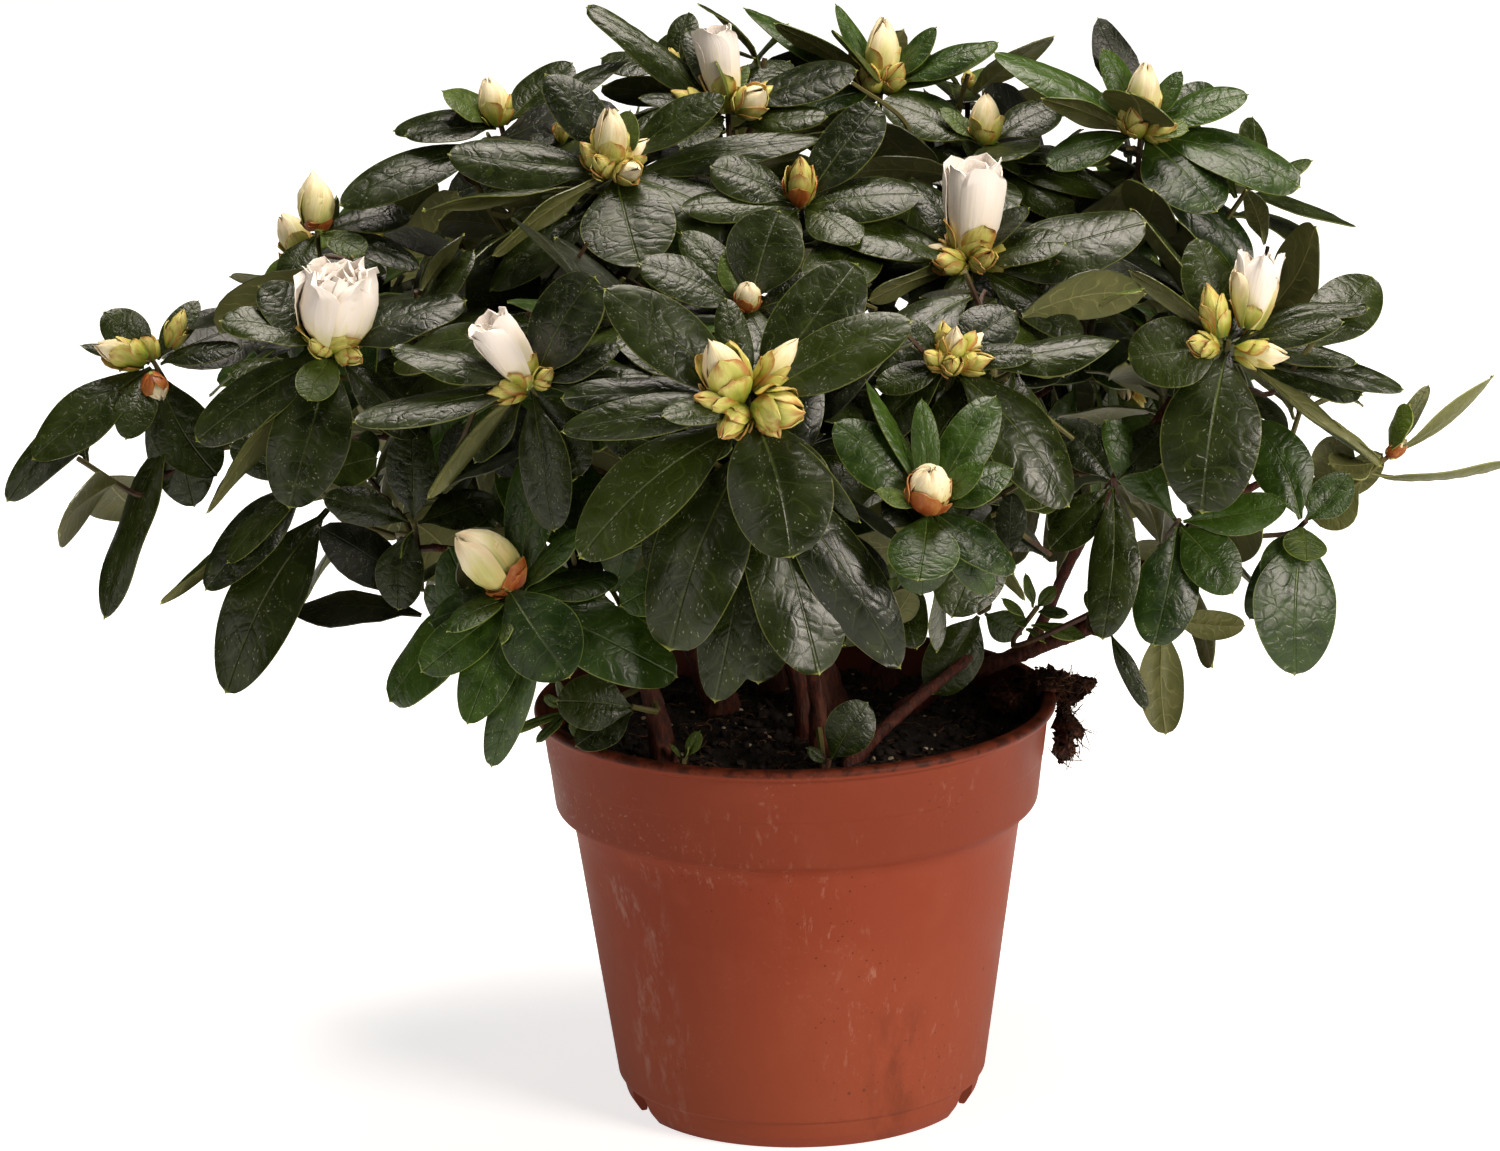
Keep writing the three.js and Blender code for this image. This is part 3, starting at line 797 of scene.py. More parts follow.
def ragged(point, low, high):
    """A point of the clump drawn in: a thin waist at the rim, a tapering tail and a tapering tongue."""
    share = (point.z - low.z) / (high.z - low.z)
    outward = smooth(low.x + 0.3 * (high.x - low.x), high.x, point.x)
    hanging = smooth(0.72, 0.6, share)
    waist = 0.62 * smooth(0.4, 0.52, share) * smooth(0.72, 0.6, share)
    tail = 0.5 * smooth(0.25, 0.0, share) * hanging
    wall = Vector((POT_RADIUS * MM + 1.2 * MM, (low.y + high.y) / 2, point.z))
    point = point.lerp(wall, max(waist, tail) if point.x > POT_RADIUS * MM - 4 * MM else 0)
    tongue = 0.6 * outward * smooth(0.66, 0.76, share)
    spine = Vector((point.x, (low.y + high.y) / 2, low.z + 0.84 * (high.z - low.z)))
    return point.lerp(spine, tongue)


def build_clump(material, crumbs, straw):
    """The peat and roots that hang over the rim, roughened from the CAD lump."""
    rng = random.Random(5)
    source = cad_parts["peat_clump"]
    piece = bpy.data.objects.new("peat_overhang", source.data.copy())
    piece.data.materials.clear()
    bpy.context.scene.collection.objects.link(piece)
    remesh = piece.modifiers.new("remesh", "REMESH")
    remesh.mode = "VOXEL"
    remesh.voxel_size = 0.65 * MM
    applied(piece)
    low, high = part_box("peat_clump")
    for vertex in piece.data.vertices:
        depth = rough_noise(vertex.co / MM, 0.3, 4) * 1.5 + rough_noise(vertex.co / MM, 1.0, 2) * 0.5
        vertex.co += vertex.normal * (depth - 1.2) * MM
        vertex.co = ragged(vertex.co, low, high)
    piece.data.set_sharp_from_angle(angle=math.radians(60))
    place(piece, "peat", material, ["peat_clump"])
    coarse, _ = lump_forms()
    wall, rim = (POT_RADIUS + 0.8) * MM, (POT_TOP + 0.8) * MM
    outer = [v for v in piece.data.vertices if math.hypot(v.co.x, v.co.y) > wall or v.co.z > rim]
    for vertex in rng.sample(outer, 200):
        size = rng.uniform(0.3, 0.9) * MM
        add_lump(crumbs, coarse, vertex.co + vertex.normal * 0.2 * size, size, rng, 0.6)
    for vertex in rng.sample(outer, 150):
        heading = vertex.normal + Vector((rng.gauss(0.4, 0.5), rng.gauss(0, 0.6), rng.uniform(-1.1, 0.3)))
        start = vertex.co - vertex.normal * 0.3 * MM
        length = rng.uniform(2, 7.5) * MM
        add_fibre(straw, start, heading, length, rng.uniform(0.1, 0.3) * MM, rng, curl=0.35)


# ---- stems and boughs ----


LIMB_SLICES = 13
STEM_THICKNESS = {"stem_front": 0.6, "stem_pruned": 0.72}  # beside their solids, where it isn't the usual ...
USUAL_STEM, USUAL_BOUGH = 0.84, 0.8  # ... and the usual thickness
STEM_LINES = {}  # each stem's line
LIMB_TIPS = {}  # where the bough of each mass ends, its heading there and its radius


def limb_line(node, root_side):
    """Centres and radii of a CAD limb, from the end nearest to root_side, sliced across its chord."""
    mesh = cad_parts[node].data
    points = np.array([v.co for v in mesh.vertices])
    edges = np.array([e.vertices[:] for e in mesh.edges])
    middle = points.mean(0)
    chord = np.linalg.svd(points - middle)[2][0]
    along = points @ chord
    if abs(np.dot(root_side, chord) - along.max()) < abs(np.dot(root_side, chord) - along.min()):
        chord, along = -chord, -along
    low, high = along.min(), along.max()
    centres, radii = [], []
    for share in np.linspace(0.05, 0.95, LIMB_SLICES):
        level = lerp(low, high, share)
        a, b = along[edges[:, 0]] - level, along[edges[:, 1]] - level
        cross = a * b < 0
        t = (a[cross] / (a[cross] - b[cross]))[:, None]
        hits = lerp(points[edges[cross, 0]], points[edges[cross, 1]], t)
        centre = hits.mean(0)
        centres.append(centre)
        radii.append(np.median(np.linalg.norm(hits - centre, axis=1)))
    first = centres[0] - (centres[1] - centres[0]) * 0.65
    last = centres[-1] + (centres[-1] - centres[-2]) * 0.65
    return np.array([first] + centres + [last]), np.array([radii[0]] + radii + [radii[-1]])


def bark_relief(strength):
    """Long ridges and a few knots, as a change of radius."""
    def relief(point):
        p = point / MM
        ridges = noise.noise(Vector((p.x * 0.9, p.y * 0.9, p.z * 0.16)) + Vector((7, 3, 1)))
        fine = noise.noise(Vector((p.x * 2.4, p.y * 2.4, p.z * 0.5)))
        return strength * (0.55 * ridges + 0.28 * fine) * MM
    return relief


def limb_widths(radii, share, thickness):
    return np.interp(share, np.linspace(0, 1, len(radii)), radii) * thickness


def build_limbs():
    bark = Batch("bark_stems", "bark", bark_material(), STEM_NODES)
    boughs = Batch("bark_boughs", "bark", bark_material(), BOUGH_NODES)
    pale = crumb_material("cut_wood", colour(146, 106, 66), colour(204, 172, 124))
    cut = Batch("cut_wood", "bark", pale)
    for node in STEM_NODES:
        low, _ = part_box(node)
        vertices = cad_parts[node].data.vertices
        foot = np.mean([v.co for v in vertices if v.co.z < low.z + 0.5 * MM], axis=0)
        centres, radii = limb_line(node, foot)
        sunk = foot - np.array([0, 0, 4 * MM])
        centres = np.concatenate([[sunk, foot], centres[1:]])
        radii = np.concatenate([[radii[0] * 1.15, radii[0] * 1.1], radii[1:]])
        line, share = smooth_line(centres, 1.3 * MM)
        widths = limb_widths(radii, share, STEM_THICKNESS.get(node, USUAL_STEM))
        flare = 1 + 0.12 * np.exp(-share * len(line) * 1.3 / 5)
        sweep(bark, line, widths * flare, 14, bark_relief(0.75))
        STEM_LINES[node] = line
        if node == "stem_pruned":
            onward = line[-1] - line[-2]
            ends = np.array([line[-1] - 0.2 * onward, line[-1] + 0.25 * onward, line[-1] + 0.5 * onward])
            sweep(cut, ends, widths[-1] * np.array([0.9, 0.86, 0.6]), 12, bark_relief(0.5))
    everything = np.concatenate(list(STEM_LINES.values()))
    for node in BOUGH_NODES:
        points = np.array([v.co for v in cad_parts[node].data.vertices])
        nearest = [np.linalg.norm(everything - p, axis=1).min() for p in points]
        centres, radii = limb_line(node, points[int(np.argmin(nearest))])
        parent = everything[np.linalg.norm(everything - centres[0], axis=1).argmin()]
        centres = np.concatenate([[parent], centres])
        radii = np.concatenate([[radii[1] * 1.1], radii])
        line, share = smooth_line(centres, 1.5 * MM)
        widths = limb_widths(radii, share, USUAL_BOUGH)
        sweep(boughs, line, widths, 10, bark_relief(0.45))
        tip = Vector(line[-1])
        LIMB_TIPS[node.replace("bough_", "leaves_")] = tip, (tip - Vector(line[-4])).normalized(), widths[-1]
    for batch in (bark, boughs, cut):
        batch.build()


# ---- leaves ----


class Blade:
    """The faces of a closed leaf or petal blade, rows along it and columns across it, and its UV tile."""

    def __init__(self, rows, columns):
        self.rows, self.columns = rows, columns
        even = np.linspace(0, 1, rows)
        self.s = lerp(even, np.sin(math.pi / 2 * even), 0.65)[:, None]
        self.t = np.linspace(-1, 1, columns)[None, :]
        count = rows * columns
        top = grid_faces(rows, columns)
        grid = np.arange(count).reshape(rows, columns)
        left, right = grid[:, 0], grid[:, -1]
        rim = np.concatenate([left[:-1], grid[-1, :-1], right[:0:-1], grid[0, :0:-1]])
        away = np.array([(-1, 0)] * (rows - 1) + [(0, 1)] * (columns - 1)
                        + [(1, 0)] * (rows - 1) + [(0, -1)] * (columns - 1))
        nxt = np.roll(rim, -1)
        sides = np.stack([rim, nxt, nxt + count, rim + count], -1)
        s, t = np.meshgrid(self.s[:, 0], self.t[0], indexing="ij")
        local = np.stack([0.5 + 0.5 * TILE_FILL * t, 0.5 + TILE_FILL * (s - 0.5)], -1).reshape(-1, 2)
        outer = 0.02 * away[:, None, :]
        edge = np.stack([local[rim], local[nxt]], 1)
        side_uv = np.concatenate([edge, (edge + outer)[:, ::-1]], 1)
        self.faces = np.concatenate([top[:, ::-1], top + count, sides])
        self.uv = np.concatenate([local[top[:, ::-1]], local[top], side_uv])
        order = np.arange(len(self.faces))
        self.below = (order >= len(top)) & (order < 2 * len(top))

    def tiles(self, rng):
        """The blade's UV corners, with its upper side and its underside in tiles drawn at random."""
        upper = np.array([rng.randrange(TILES), rng.randrange(TILES - 1)])
        under = np.array([rng.randrange(TILES), TILES - 1])
        tile = np.where(self.below[:, None, None], under, upper)
        return (self.uv + tile) / TILES


FINE_BLADE = Blade(23, 11)
MIDDLE_BLADE = Blade(17, 9)
PLAIN_BLADE = Blade(12, 7)
INNER_BLADE = Blade(10, 5)
PROXY_BLADE = Blade(5, 3)


def outline(s, peak, blunt):
    """Half the width of a leaf along its length, at most 1: a narrow wedge-shaped base and a round tip."""
    power = math.log(0.5) / math.log(peak)
    arch = np.sin(math.pi * np.clip(s, 0.0, 1) ** power)
    form = np.clip(arch, 0, 1) ** lerp(1.05, blunt, smooth(0.0, 0.6, s))
    return np.maximum(form, np.where(s < 0.5, 0.075, 0.02))


def leaf_points(blade, leaf):
    """The points of one leaf, upper side then underside, from the facts in leaf."""
    s, t = blade.s, blade.t
    length, width = leaf["length"] * MM, leaf["width"] * MM
    rng = random.Random(leaf["seed"])
    half = 0.5 * width * outline(s, leaf["peak"], leaf["blunt"])
    y = t * half
    share = y / (0.5 * width)
    lift = -leaf["cup"] * MM * share ** 2
    lift = lift - 0.55 * MM * np.exp(-(y / (0.07 * width)) ** 2) * smooth(1.0, 0.1, s)
    lean = rng.uniform(-0.25, 0.25)
    spacing = length / 7.5
    for side in (-1, 1):
        phase = (s * length - 0.62 * np.abs(y)) / spacing + rng.uniform(0, 1)
        bulge = np.abs(np.sin(math.pi * phase)) ** 0.7
        window = np.where(share * side > 0, 1.0, 0.0) * smooth(0.05, 0.25, np.abs(share))
        window = window * smooth(1.0, 0.8, np.abs(t))
        lift = lift + leaf["quilt"] * MM * bulge * window * smooth(0.0, 0.2, s) * smooth(1.0, 0.85, s)
    wave = leaf["wave"] * MM * np.sin(TAU * (leaf["waves"] * s + 0.18 * np.sign(t)) + rng.uniform(0, TAU))
    lift = lift + wave * t ** 2 * smooth(0.1, 0.35, s)
    turn = leaf["twist"] * (s - 0.25) + lean * 0.3
    y, lift = y * np.cos(turn) - lift * np.sin(turn), y * np.sin(turn) + lift * np.cos(turn)
    sway = leaf["sway"] * length * np.sin(math.pi * s)
    theta = leaf["bend"] * (0.5 - s)
    steps = np.diff(s[:, 0], prepend=0.0) * length
    x = np.cumsum(np.cos(theta[:, 0]) * steps)[:, None]
    z = np.cumsum(np.sin(theta[:, 0]) * steps)[:, None]
    thick = 0.32 * MM * (1 + 0.9 * np.exp(-(share / 0.09) ** 2)) * (0.55 + 0.45 * smooth(0.0, 0.1, 1 - s))
    top = np.stack([x - lift * np.sin(theta), y + sway, z + lift * np.cos(theta)], -1)
    low = lift - thick
    bottom = np.stack([x - low * np.sin(theta), y + sway, z + low * np.cos(theta)], -1)
    tip = top[-1, :, 0] + 0.5 * MM * np.exp(-(blade.t[0] / 0.4) ** 2)
    top[-1, :, 0] = tip
    bottom[-1, :, 0] = tip
    local = np.concatenate([top.reshape(-1, 3), bottom.reshape(-1, 3)])
    return local @ basis(leaf["along"], leaf["face"]).T + np.array(leaf["base"])


def make_leaf(rng, base, along, face, length, width=None, bend=None, kind="deep"):
    """The facts of one leaf, with the small differences between leaves drawn from rng."""
    along = along.normalized()
    return {
        "base": base, "along": along, "face": square_to(face, along), "kind": kind,
        "length": length, "width": width or length * rng.uniform(0.48, 0.62),
        "bend": rng.uniform(0.25, 0.8) if bend is None else bend,
        "cup": rng.uniform(0.6, 2.2) * length / 38, "quilt": rng.uniform(0.08, 0.42) * min(1, length / 32),
        "wave": rng.uniform(0.1, 0.8) * length / 38, "waves": rng.uniform(0.8, 2.1),
        "twist": rng.gauss(0, 0.22), "sway": rng.gauss(0, 0.025),
        "peak": rng.uniform(0.53, 0.6), "blunt": rng.uniform(0.4, 0.56), "seed": rng.random(),
    }


# What an onlooker in front of the plant, looking down on it a little, calls right, up and nearer.
VIEW_AT = Vector((-0.011385, -1.884184, 0.653657))
VIEW_RIGHT = Vector((1, 0, 0))
VIEW_UP = polar(90, 75)
VIEW_NEAR = polar(-90, 15)
CROWN_DISTANCE = 1.95


def view_vector(right, up, near):
    return VIEW_RIGHT * right + VIEW_UP * up + VIEW_NEAR * near


def seen(points):
    """Points as the onlooker sees them: right and up, at the crown's distance, and how far away."""
    away = np.asarray(points) - np.array(VIEW_AT)
    distance = -away @ np.array(VIEW_NEAR)
    scale = CROWN_DISTANCE / distance
    return np.stack([away @ np.array(VIEW_RIGHT) * scale, away @ np.array(VIEW_UP) * scale, distance], -1)


CROWN_MIDDLE = Vector((0, 0, 170)) * MM
STEM_ROOM = 92 * MM  # within this distance of the pot's axis the stems are left bare ...
STEM_TOP = 143 * MM  # ... up to this height
LOWEST_LEAF = 117 * MM  # and the crown's underside rises from here towards its sides
UNDERSIDE_RISE = 0.42
LEAF_REACH = 46 * MM  # leaves whose middles are further apart don't meet
BUD_REACH = 40 * MM


class Foliage:
    """Every leaf of the crown, kept apart by kind, with a coarse twin of each for finding collisions."""

    def __init__(self):
        self.leaves = []
        self.trees, self.places, self.forms = [], [], []
        self.shown = []

    def show(self, centre, radius):
        """Keep later leaves from hiding this place from the front."""
        self.shown.append(list(seen([centre])[0]) + [radius])

    def clash(self, leaf):
        """How much the leaf crosses other leaves, hides what is shown, or hangs among the stems."""
        points = leaf_points(PROXY_BLADE, leaf)
        tree = BVHTree.FromPolygons(points.tolist(), PROXY_BLADE.faces.tolist())
        middle = Vector(points.mean(0))
        found = 0
        for other, place in zip(self.trees, self.places):
            if (place - middle).length < LEAF_REACH:
                found += len(tree.overlap(other))
        top = points[: len(points) // 2]
        ahead = (np.abs(top[:, 0]) < STEM_ROOM) & (top[:, 1] < 0)
        low = (np.hypot(top[:, 0], top[:, 1]) < STEM_ROOM) | ahead
        floor = LOWEST_LEAF + UNDERSIDE_RISE * np.maximum(0, np.abs(top[:, 0]) - 95 * MM)
        low = low & (top[:, 2] < STEM_TOP) | (top[:, 2] < floor)
        found += 10 * int(low.sum())
        outward = (middle - CROWN_MIDDLE).normalized()
        found += 5 * int(leaf["face"].dot(outward) < -0.15)
        if self.shown:
            places = np.array(self.shown)
            view = seen(top)
            apart = np.hypot(view[:, None, 0] - places[None, :, 0], view[:, None, 1] - places[None, :, 1])
            hides = (apart < places[None, :, 3]) & (view[:, None, 2] < places[None, :, 2] - MM)
            found += 6 * int(hides.any(1).sum())
        return found, tree, middle

    def keep(self, leaf, tree=None, middle=None, shown=False):
        if tree is None:
            _, tree, middle = self.clash(leaf)
        self.leaves.append(leaf)
        self.trees.append(tree)
        self.places.append(middle)
        self.forms.append(leaf_points(PROXY_BLADE, leaf))
        leaf["hero"] = shown
        if shown:
            points = self.forms[-1]
            middles = points[: len(points) // 2].reshape(PROXY_BLADE.rows, PROXY_BLADE.columns, 3)[1:, 1]
            for point in middles:
                self.show(point, 0.4 * leaf["width"] * MM)

    def crowds(self, point, room, count):
        """Whether one of the first leaves is this close to the point."""
        for tree, place in zip(self.trees[:count], self.places[:count]):
            if (place - point).length < BUD_REACH and tree.find_nearest(point, room)[0] is not None:
                return True
        return False

    def whole(self):
        """One tree of every leaf so far."""
        points = np.concatenate(self.forms)
        step = len(self.forms[0])
        faces = np.concatenate([PROXY_BLADE.faces + step * i for i in range(len(self.forms))])
        return BVHTree.FromPolygons(points.tolist(), faces.tolist())

    def best(self, candidates, limit):
        """Keep the candidate that crosses the others least, if it crosses them less than the limit."""
        scored = []
        for leaf in candidates:
            found, tree, middle = self.clash(leaf)
            scored.append((found, leaf, tree, middle))
            if found == 0:
                break
        found, leaf, tree, middle = min(scored, key=lambda row: row[0])
        if found <= limit:
            self.keep(leaf, tree, middle)
            return True
        return False


# ---- buds and blossom ----

PETAL = Blade(10, 7)
SCALE = Blade(6, 5)
# radius along the height, as shares of the bud's radius and height
SHUT = [(0, 0.45), (0.15, 0.8), (0.4, 1.0), (0.65, 0.88), (0.85, 0.52), (0.95, 0.24), (1, 0.04)]
LOOSE = [(0, 0.45), (0.2, 0.85), (0.5, 1.04), (0.75, 0.94), (0.92, 0.66), (1, 0.6)]
FLAME = [(0, 0.4), (0.15, 0.75), (0.35, 1.0), (0.6, 0.95), (0.8, 0.68), (0.93, 0.36), (1, 0.12)]
TULIP = [(0, 0.4), (0.15, 0.62), (0.35, 0.84), (0.6, 0.96), (0.8, 0.98), (0.92, 0.95), (1, 1.0)]
CUP = [(0, 0.35), (0.12, 0.6), (0.3, 0.87), (0.55, 1.0), (0.8, 0.94), (0.93, 0.84), (1, 0.88)]
OVAL = [(0, 0.45), (0.12, 0.72), (0.35, 0.98), (0.5, 1.0), (0.7, 0.86), (0.88, 0.5), (0.96, 0.24), (1, 0.03)]
BALL = [(0, 0.5), (0.15, 0.85), (0.4, 1.0), (0.7, 0.95), (0.88, 0.66), (0.97, 0.3), (1, 0.03)]


# The whorls of petals of an opening flower: how many, their shares of the height and of the radius, how wide
# a petal spreads and how far it twists.
WHORLS = [
    (3, 0.86, 0.27, 1.6, 1.4), (3, 0.92, 0.5, 1.5, 1.2), (4, 0.97, 0.72, 1.35, 0.8), (5, 1, 0.88, 1.4, 0.35),
]
# Plain rounded buds: height, radius, how far up the red sepals reach, and outline.
OVALS = {
    "small_oval": (13, 5.4, 0.74, BALL), "oval_pale": (16, 5.0, 0.2, OVAL),
    "tiny_red": (8.5, 3.1, 0.62, BALL), "red_tip": (7, 1.9, 0.9, BALL),
}
# Buds side by side: each one's place and heading as right, up and nearer, its height, radius and ripeness.
GROUPS = {
    "rich": [
        ((-2, 1, 2), (-0.42, 0.8, 0.45), 18, 6.2, 1), ((2, 2, 0), (0.62, 0.78, 0.1), 17, 4.2, 0.9),
        ((2, -1, 3), (0.78, -0.12, 0.6), 16, 5.4, 0.9), ((-2, -1, 2), (-0.8, 0.15, 0.5), 14, 3.4, 0),
        ((-1, -2, 2), (-0.5, -0.6, 0.6), 12, 3.8, 0), ((3, -3, 1), (0.5, -0.7, 0.5), 9, 3.0, 0),
    ],
    "white_small": [
        ((3, 0, 3), (0.6, 0.45, 0.7), 12, 4.6, 1), ((-4, 0, 1), (-0.85, 0.45, 0.2), 13, 3.2, 0),
        ((4, 1, -2), (0.85, 0.5, 0), 12, 3.2, 0),
    ],
    "twin": [
        ((-2, 2, 2), (-0.25, 0.95, 0.2), 15, 3.7, 0.5), ((-3, -1, 2), (-0.8, 0.2, 0.5), 10, 3.4, 0),
        ((2, -2, 3), (0.9, -0.1, 0.4), 15, 3.8, 0.4), ((4, 0, -2), (0.9, 0.3, -0.1), 13, 3.4, 0),
    ],
    "cluster_red": [
        ((-2, 1, 2), (-0.95, 0.3, 0.2), 15, 4.2, 1), ((0, 1, 0), (-0.5, 0.85, 0), 10, 3.2, 0),
        ((4, 4, -1), (0.35, 0.95, 0), 11, 3.0, 0),
    ],
}
PETAL_THICKNESS = 0.28 * MM
SCALE_LIMIT = 150000  # triangles in a batch of scales, after which a second one is begun


def petal_points(blade, base, axis, side, height, radius, profile, spread, top, ruffle, twist, offset, rng,
                 blunt):
    """One petal or scale wrapped round a bud's axis, starting at bearing `offset` round it."""
    s, t = blade.s, blade.t
    rows = np.array(profile)
    reach = np.interp(s * top, rows[:, 0], rows[:, 1]) * radius
    pointed = np.clip(np.sin(math.pi * np.clip(0.1 + 0.9 * s, 0, 1) ** 1.15), 0, 1) ** 0.55
    broad = np.sqrt(np.clip(1 - 0.7 * s ** 10, 0, 1)) * smooth(-0.3, 0.2, s)
    angle = offset + twist * s + t * spread * np.maximum(lerp(pointed, broad, blunt), 0.03)
    phase = rng.uniform(0, TAU)
    lobes = np.sin(5 * t + phase) + 0.5 * np.sin(11 * t + 2 * phase)
    reach = reach + (0.08 * radius * t + ruffle * radius * smooth(0.45, 1.0, s) * lobes)
    height_at = s * top * height - 0.09 * height * blunt * t ** 2 * smooth(0.6, 1, s)
    height_at = height_at + ruffle * 0.6 * radius * smooth(0.6, 1, s) * np.cos(7 * t + phase)
    inner = np.maximum(reach - PETAL_THICKNESS, 0.02 * MM)
    out = np.cos(angle)[..., None] * np.array(side) + np.sin(angle)[..., None] * np.array(axis.cross(side))
    rise = np.array(axis) * height_at[..., None]
    # the first layer is the blade's upper side, which faces out
    layers = [np.array(base) + out * r[..., None] + rise for r in (reach, inner)]
    return np.concatenate([layer.reshape(-1, 3) for layer in layers])


# Each kind of petal or scale: its piece, its material, its shades at the base, middle, tip and edge, then the
# edge's share, the roughness and the stains.
PETAL_LOOKS = [
    ("bud_scales", "bud_scale", (94, 122, 28), (164, 168, 62), (216, 212, 122), (170, 92, 32),
     0.8, 0.4, 0.36),
    ("bud_sepals", "red_sepal", (112, 46, 14), (142, 66, 24), (168, 96, 42), (196, 140, 70),
     0.5, 0.4, 0.3),
    ("petals_cream", "cream_petal", (146, 160, 66), (218, 212, 140), (250, 240, 206), (208, 158, 84),
     0.3, 0.5, 0.3),
    ("petals_white", "white_petal", (214, 212, 130), (248, 238, 222), (254, 247, 240), (255, 250, 244),
     0.1, 0.6, 0.0),
]


def petal_batch(piece, name, base, middle, tip, edge, edge_share, rough, stained):
    base, middle, tip, edge = (colour(*shade) for shade in (base, middle, tip, edge))
    return Batch(piece, "leaf", petal_material(name, base, middle, tip, rough, edge, edge_share, stained))


class Blossom:
    """Buds and half-open flowers, in one batch for each material."""

    def __init__(self):
        self.scales, self.red, self.cream, self.white = (petal_batch(*look) for look in PETAL_LOOKS)
        self.full = []

    def batches(self):
        return self.full + [self.scales, self.red, self.cream, self.white]

    def whorl(self, batch, blade, rng, base, axis, count, height, radius, profile, spread, top=1.0,
              ruffle=0.0, twist=0.4, blunt=0.0):
        """Petals or scales round an axis; the later ones lie a little further out."""
        side = square_to(random_vector(rng), axis)
        for i in range(count):
            swell = 1 + 0.035 * i
            tall = height * MM * rng.uniform(0.95, 1.03)
            share = top * rng.uniform(0.94, 1.0)
            offset = TAU * i * (2 if count % 2 else 1) / count + rng.uniform(-0.1, 0.1)
            wide = radius * MM * swell
            points = petal_points(blade, base, axis, side, tall, wide, profile, spread, share, ruffle, twist,
                                  offset, rng, blunt)
            batch.add(points, blade.faces[:, ::-1], blade.tiles(rng)[:, ::-1])

    def scale_whorl(self, rng, base, axis, count, height, radius, profile, spread, top, blunt=0.2):
        self.whorl(self.scales, SCALE, rng, base, axis, count, height, radius, profile, spread, top,
                   blunt=blunt)

    def small(self, rng, base, axis, height, radius, ripe=0.5, blade=SCALE):
        """A fat pointed bud in its scales."""
        core = self.cream if rng.random() < ripe else self.scales
        self.whorl(core, blade, rng, base, axis, 3, height, radius * 0.84, SHUT, 1.3, twist=0.6, blunt=0.7)
        self.scale_whorl(rng, base, axis, 3, height, radius * 0.98, LOOSE, 1.0, rng.uniform(0.68, 0.84), 0.25)
        self.scale_whorl(rng, base, axis, 3, height, radius * 1.1, LOOSE, 0.85, rng.uniform(0.38, 0.52), 0.25)

    def cluster(self, rng, base, axis, count, height=10.5, lean=(30, 66)):
        """Small buds round an axis, each leaning away from it."""
        side = square_to(random_vector(rng), axis)
        for i in range(count):
            out = Matrix.Rotation(TAU * i / count + rng.uniform(-0.3, 0.3), 3, axis) @ side
            tilt = math.radians(rng.uniform(*lean))
            heading = (axis * math.cos(tilt) + out * math.sin(tilt)).normalized()
            size = height * rng.uniform(0.85, 1.2)
            start = base + out * 1.6 * MM - axis * 0.5 * MM
            self.small(rng, start, heading, size, size * rng.uniform(0.27, 0.33), 0.25)

    def flame(self, rng, base, axis, height=19, radius=4.3):
        """A long bud whose petals show above its scales."""
        self.whorl(self.cream, PETAL, rng, base, axis, 4, height, radius, FLAME, 1.2, ruffle=0.04, twist=0.9,
                   blunt=0.6)
        self.scale_whorl(rng, base, axis, 3, height, radius * 1.12, LOOSE, 0.95, 0.6)
        self.scale_whorl(rng, base, axis, 3, height, radius * 1.2, LOOSE, 0.85, 0.36)

    def opening(self, rng, base, axis, height, radius, profile, ruffle, jacket):
        """A flower bud that is opening: whorls of white petals in a few loose scales."""
        for count, tall, wide, spread, twist in WHORLS:
            self.whorl(self.white, PETAL, rng, base, axis, count, height * tall, radius * wide, profile,
                       spread, ruffle=ruffle, twist=twist, blunt=1)
        self.scale_whorl(rng, base, axis, 4, height, radius * 1.0, profile, 0.75, jacket)
        self.scale_whorl(rng, base, axis, 3, height, radius * 1.07, profile, 0.75, jacket * 0.6)

    def oval(self, rng, base, axis, height, radius, sepals, profile=OVAL):
        """A rounded cream bud in red sepals."""
        whorls = [
            (self.cream, PETAL, 3, height * 0.975, 0.6, 1.5, 1.0, 0.9, 0.6),
            (self.cream, PETAL, 5, height, 0.88, 1.15, 1.0, 0.9, 0.85),
            (self.red, SCALE, 4, height, 1.04, 0.9, sepals, 0.4, 0.5),
            (self.red, SCALE, 3, height, 1.1, 0.8, sepals * 0.6, 0.4, 0.3),
        ]
        for batch, blade, count, tall, wide, spread, top, twist, blunt in whorls:
            self.whorl(batch, blade, rng, base, axis, count, tall, radius * wide, profile, spread, top,
                       twist=twist, blunt=blunt)

    def twin(self, rng, base):
        """A flower half open: pointed white petals in cream ones and scales."""
        start = base + view_vector(6, 4, 0) * MM
        lean, straight = view_vector(0.14, 1, 0.1).normalized(), view_vector(0.1, 1, 0.1).normalized()
        self.whorl(self.white, PETAL, rng, start, lean, 5, 21, 5.6, TULIP, 0.8, 1.0, 0.1, 0.3, 0.35)
        self.whorl(self.cream, PETAL, rng, start, straight, 4, 16, 5.8, TULIP, 0.9, 1.0, 0.08, 0.3, 0.5)
        self.scale_whorl(rng, start, straight, 4, 17, 6.2, TULIP, 0.7, 0.42)

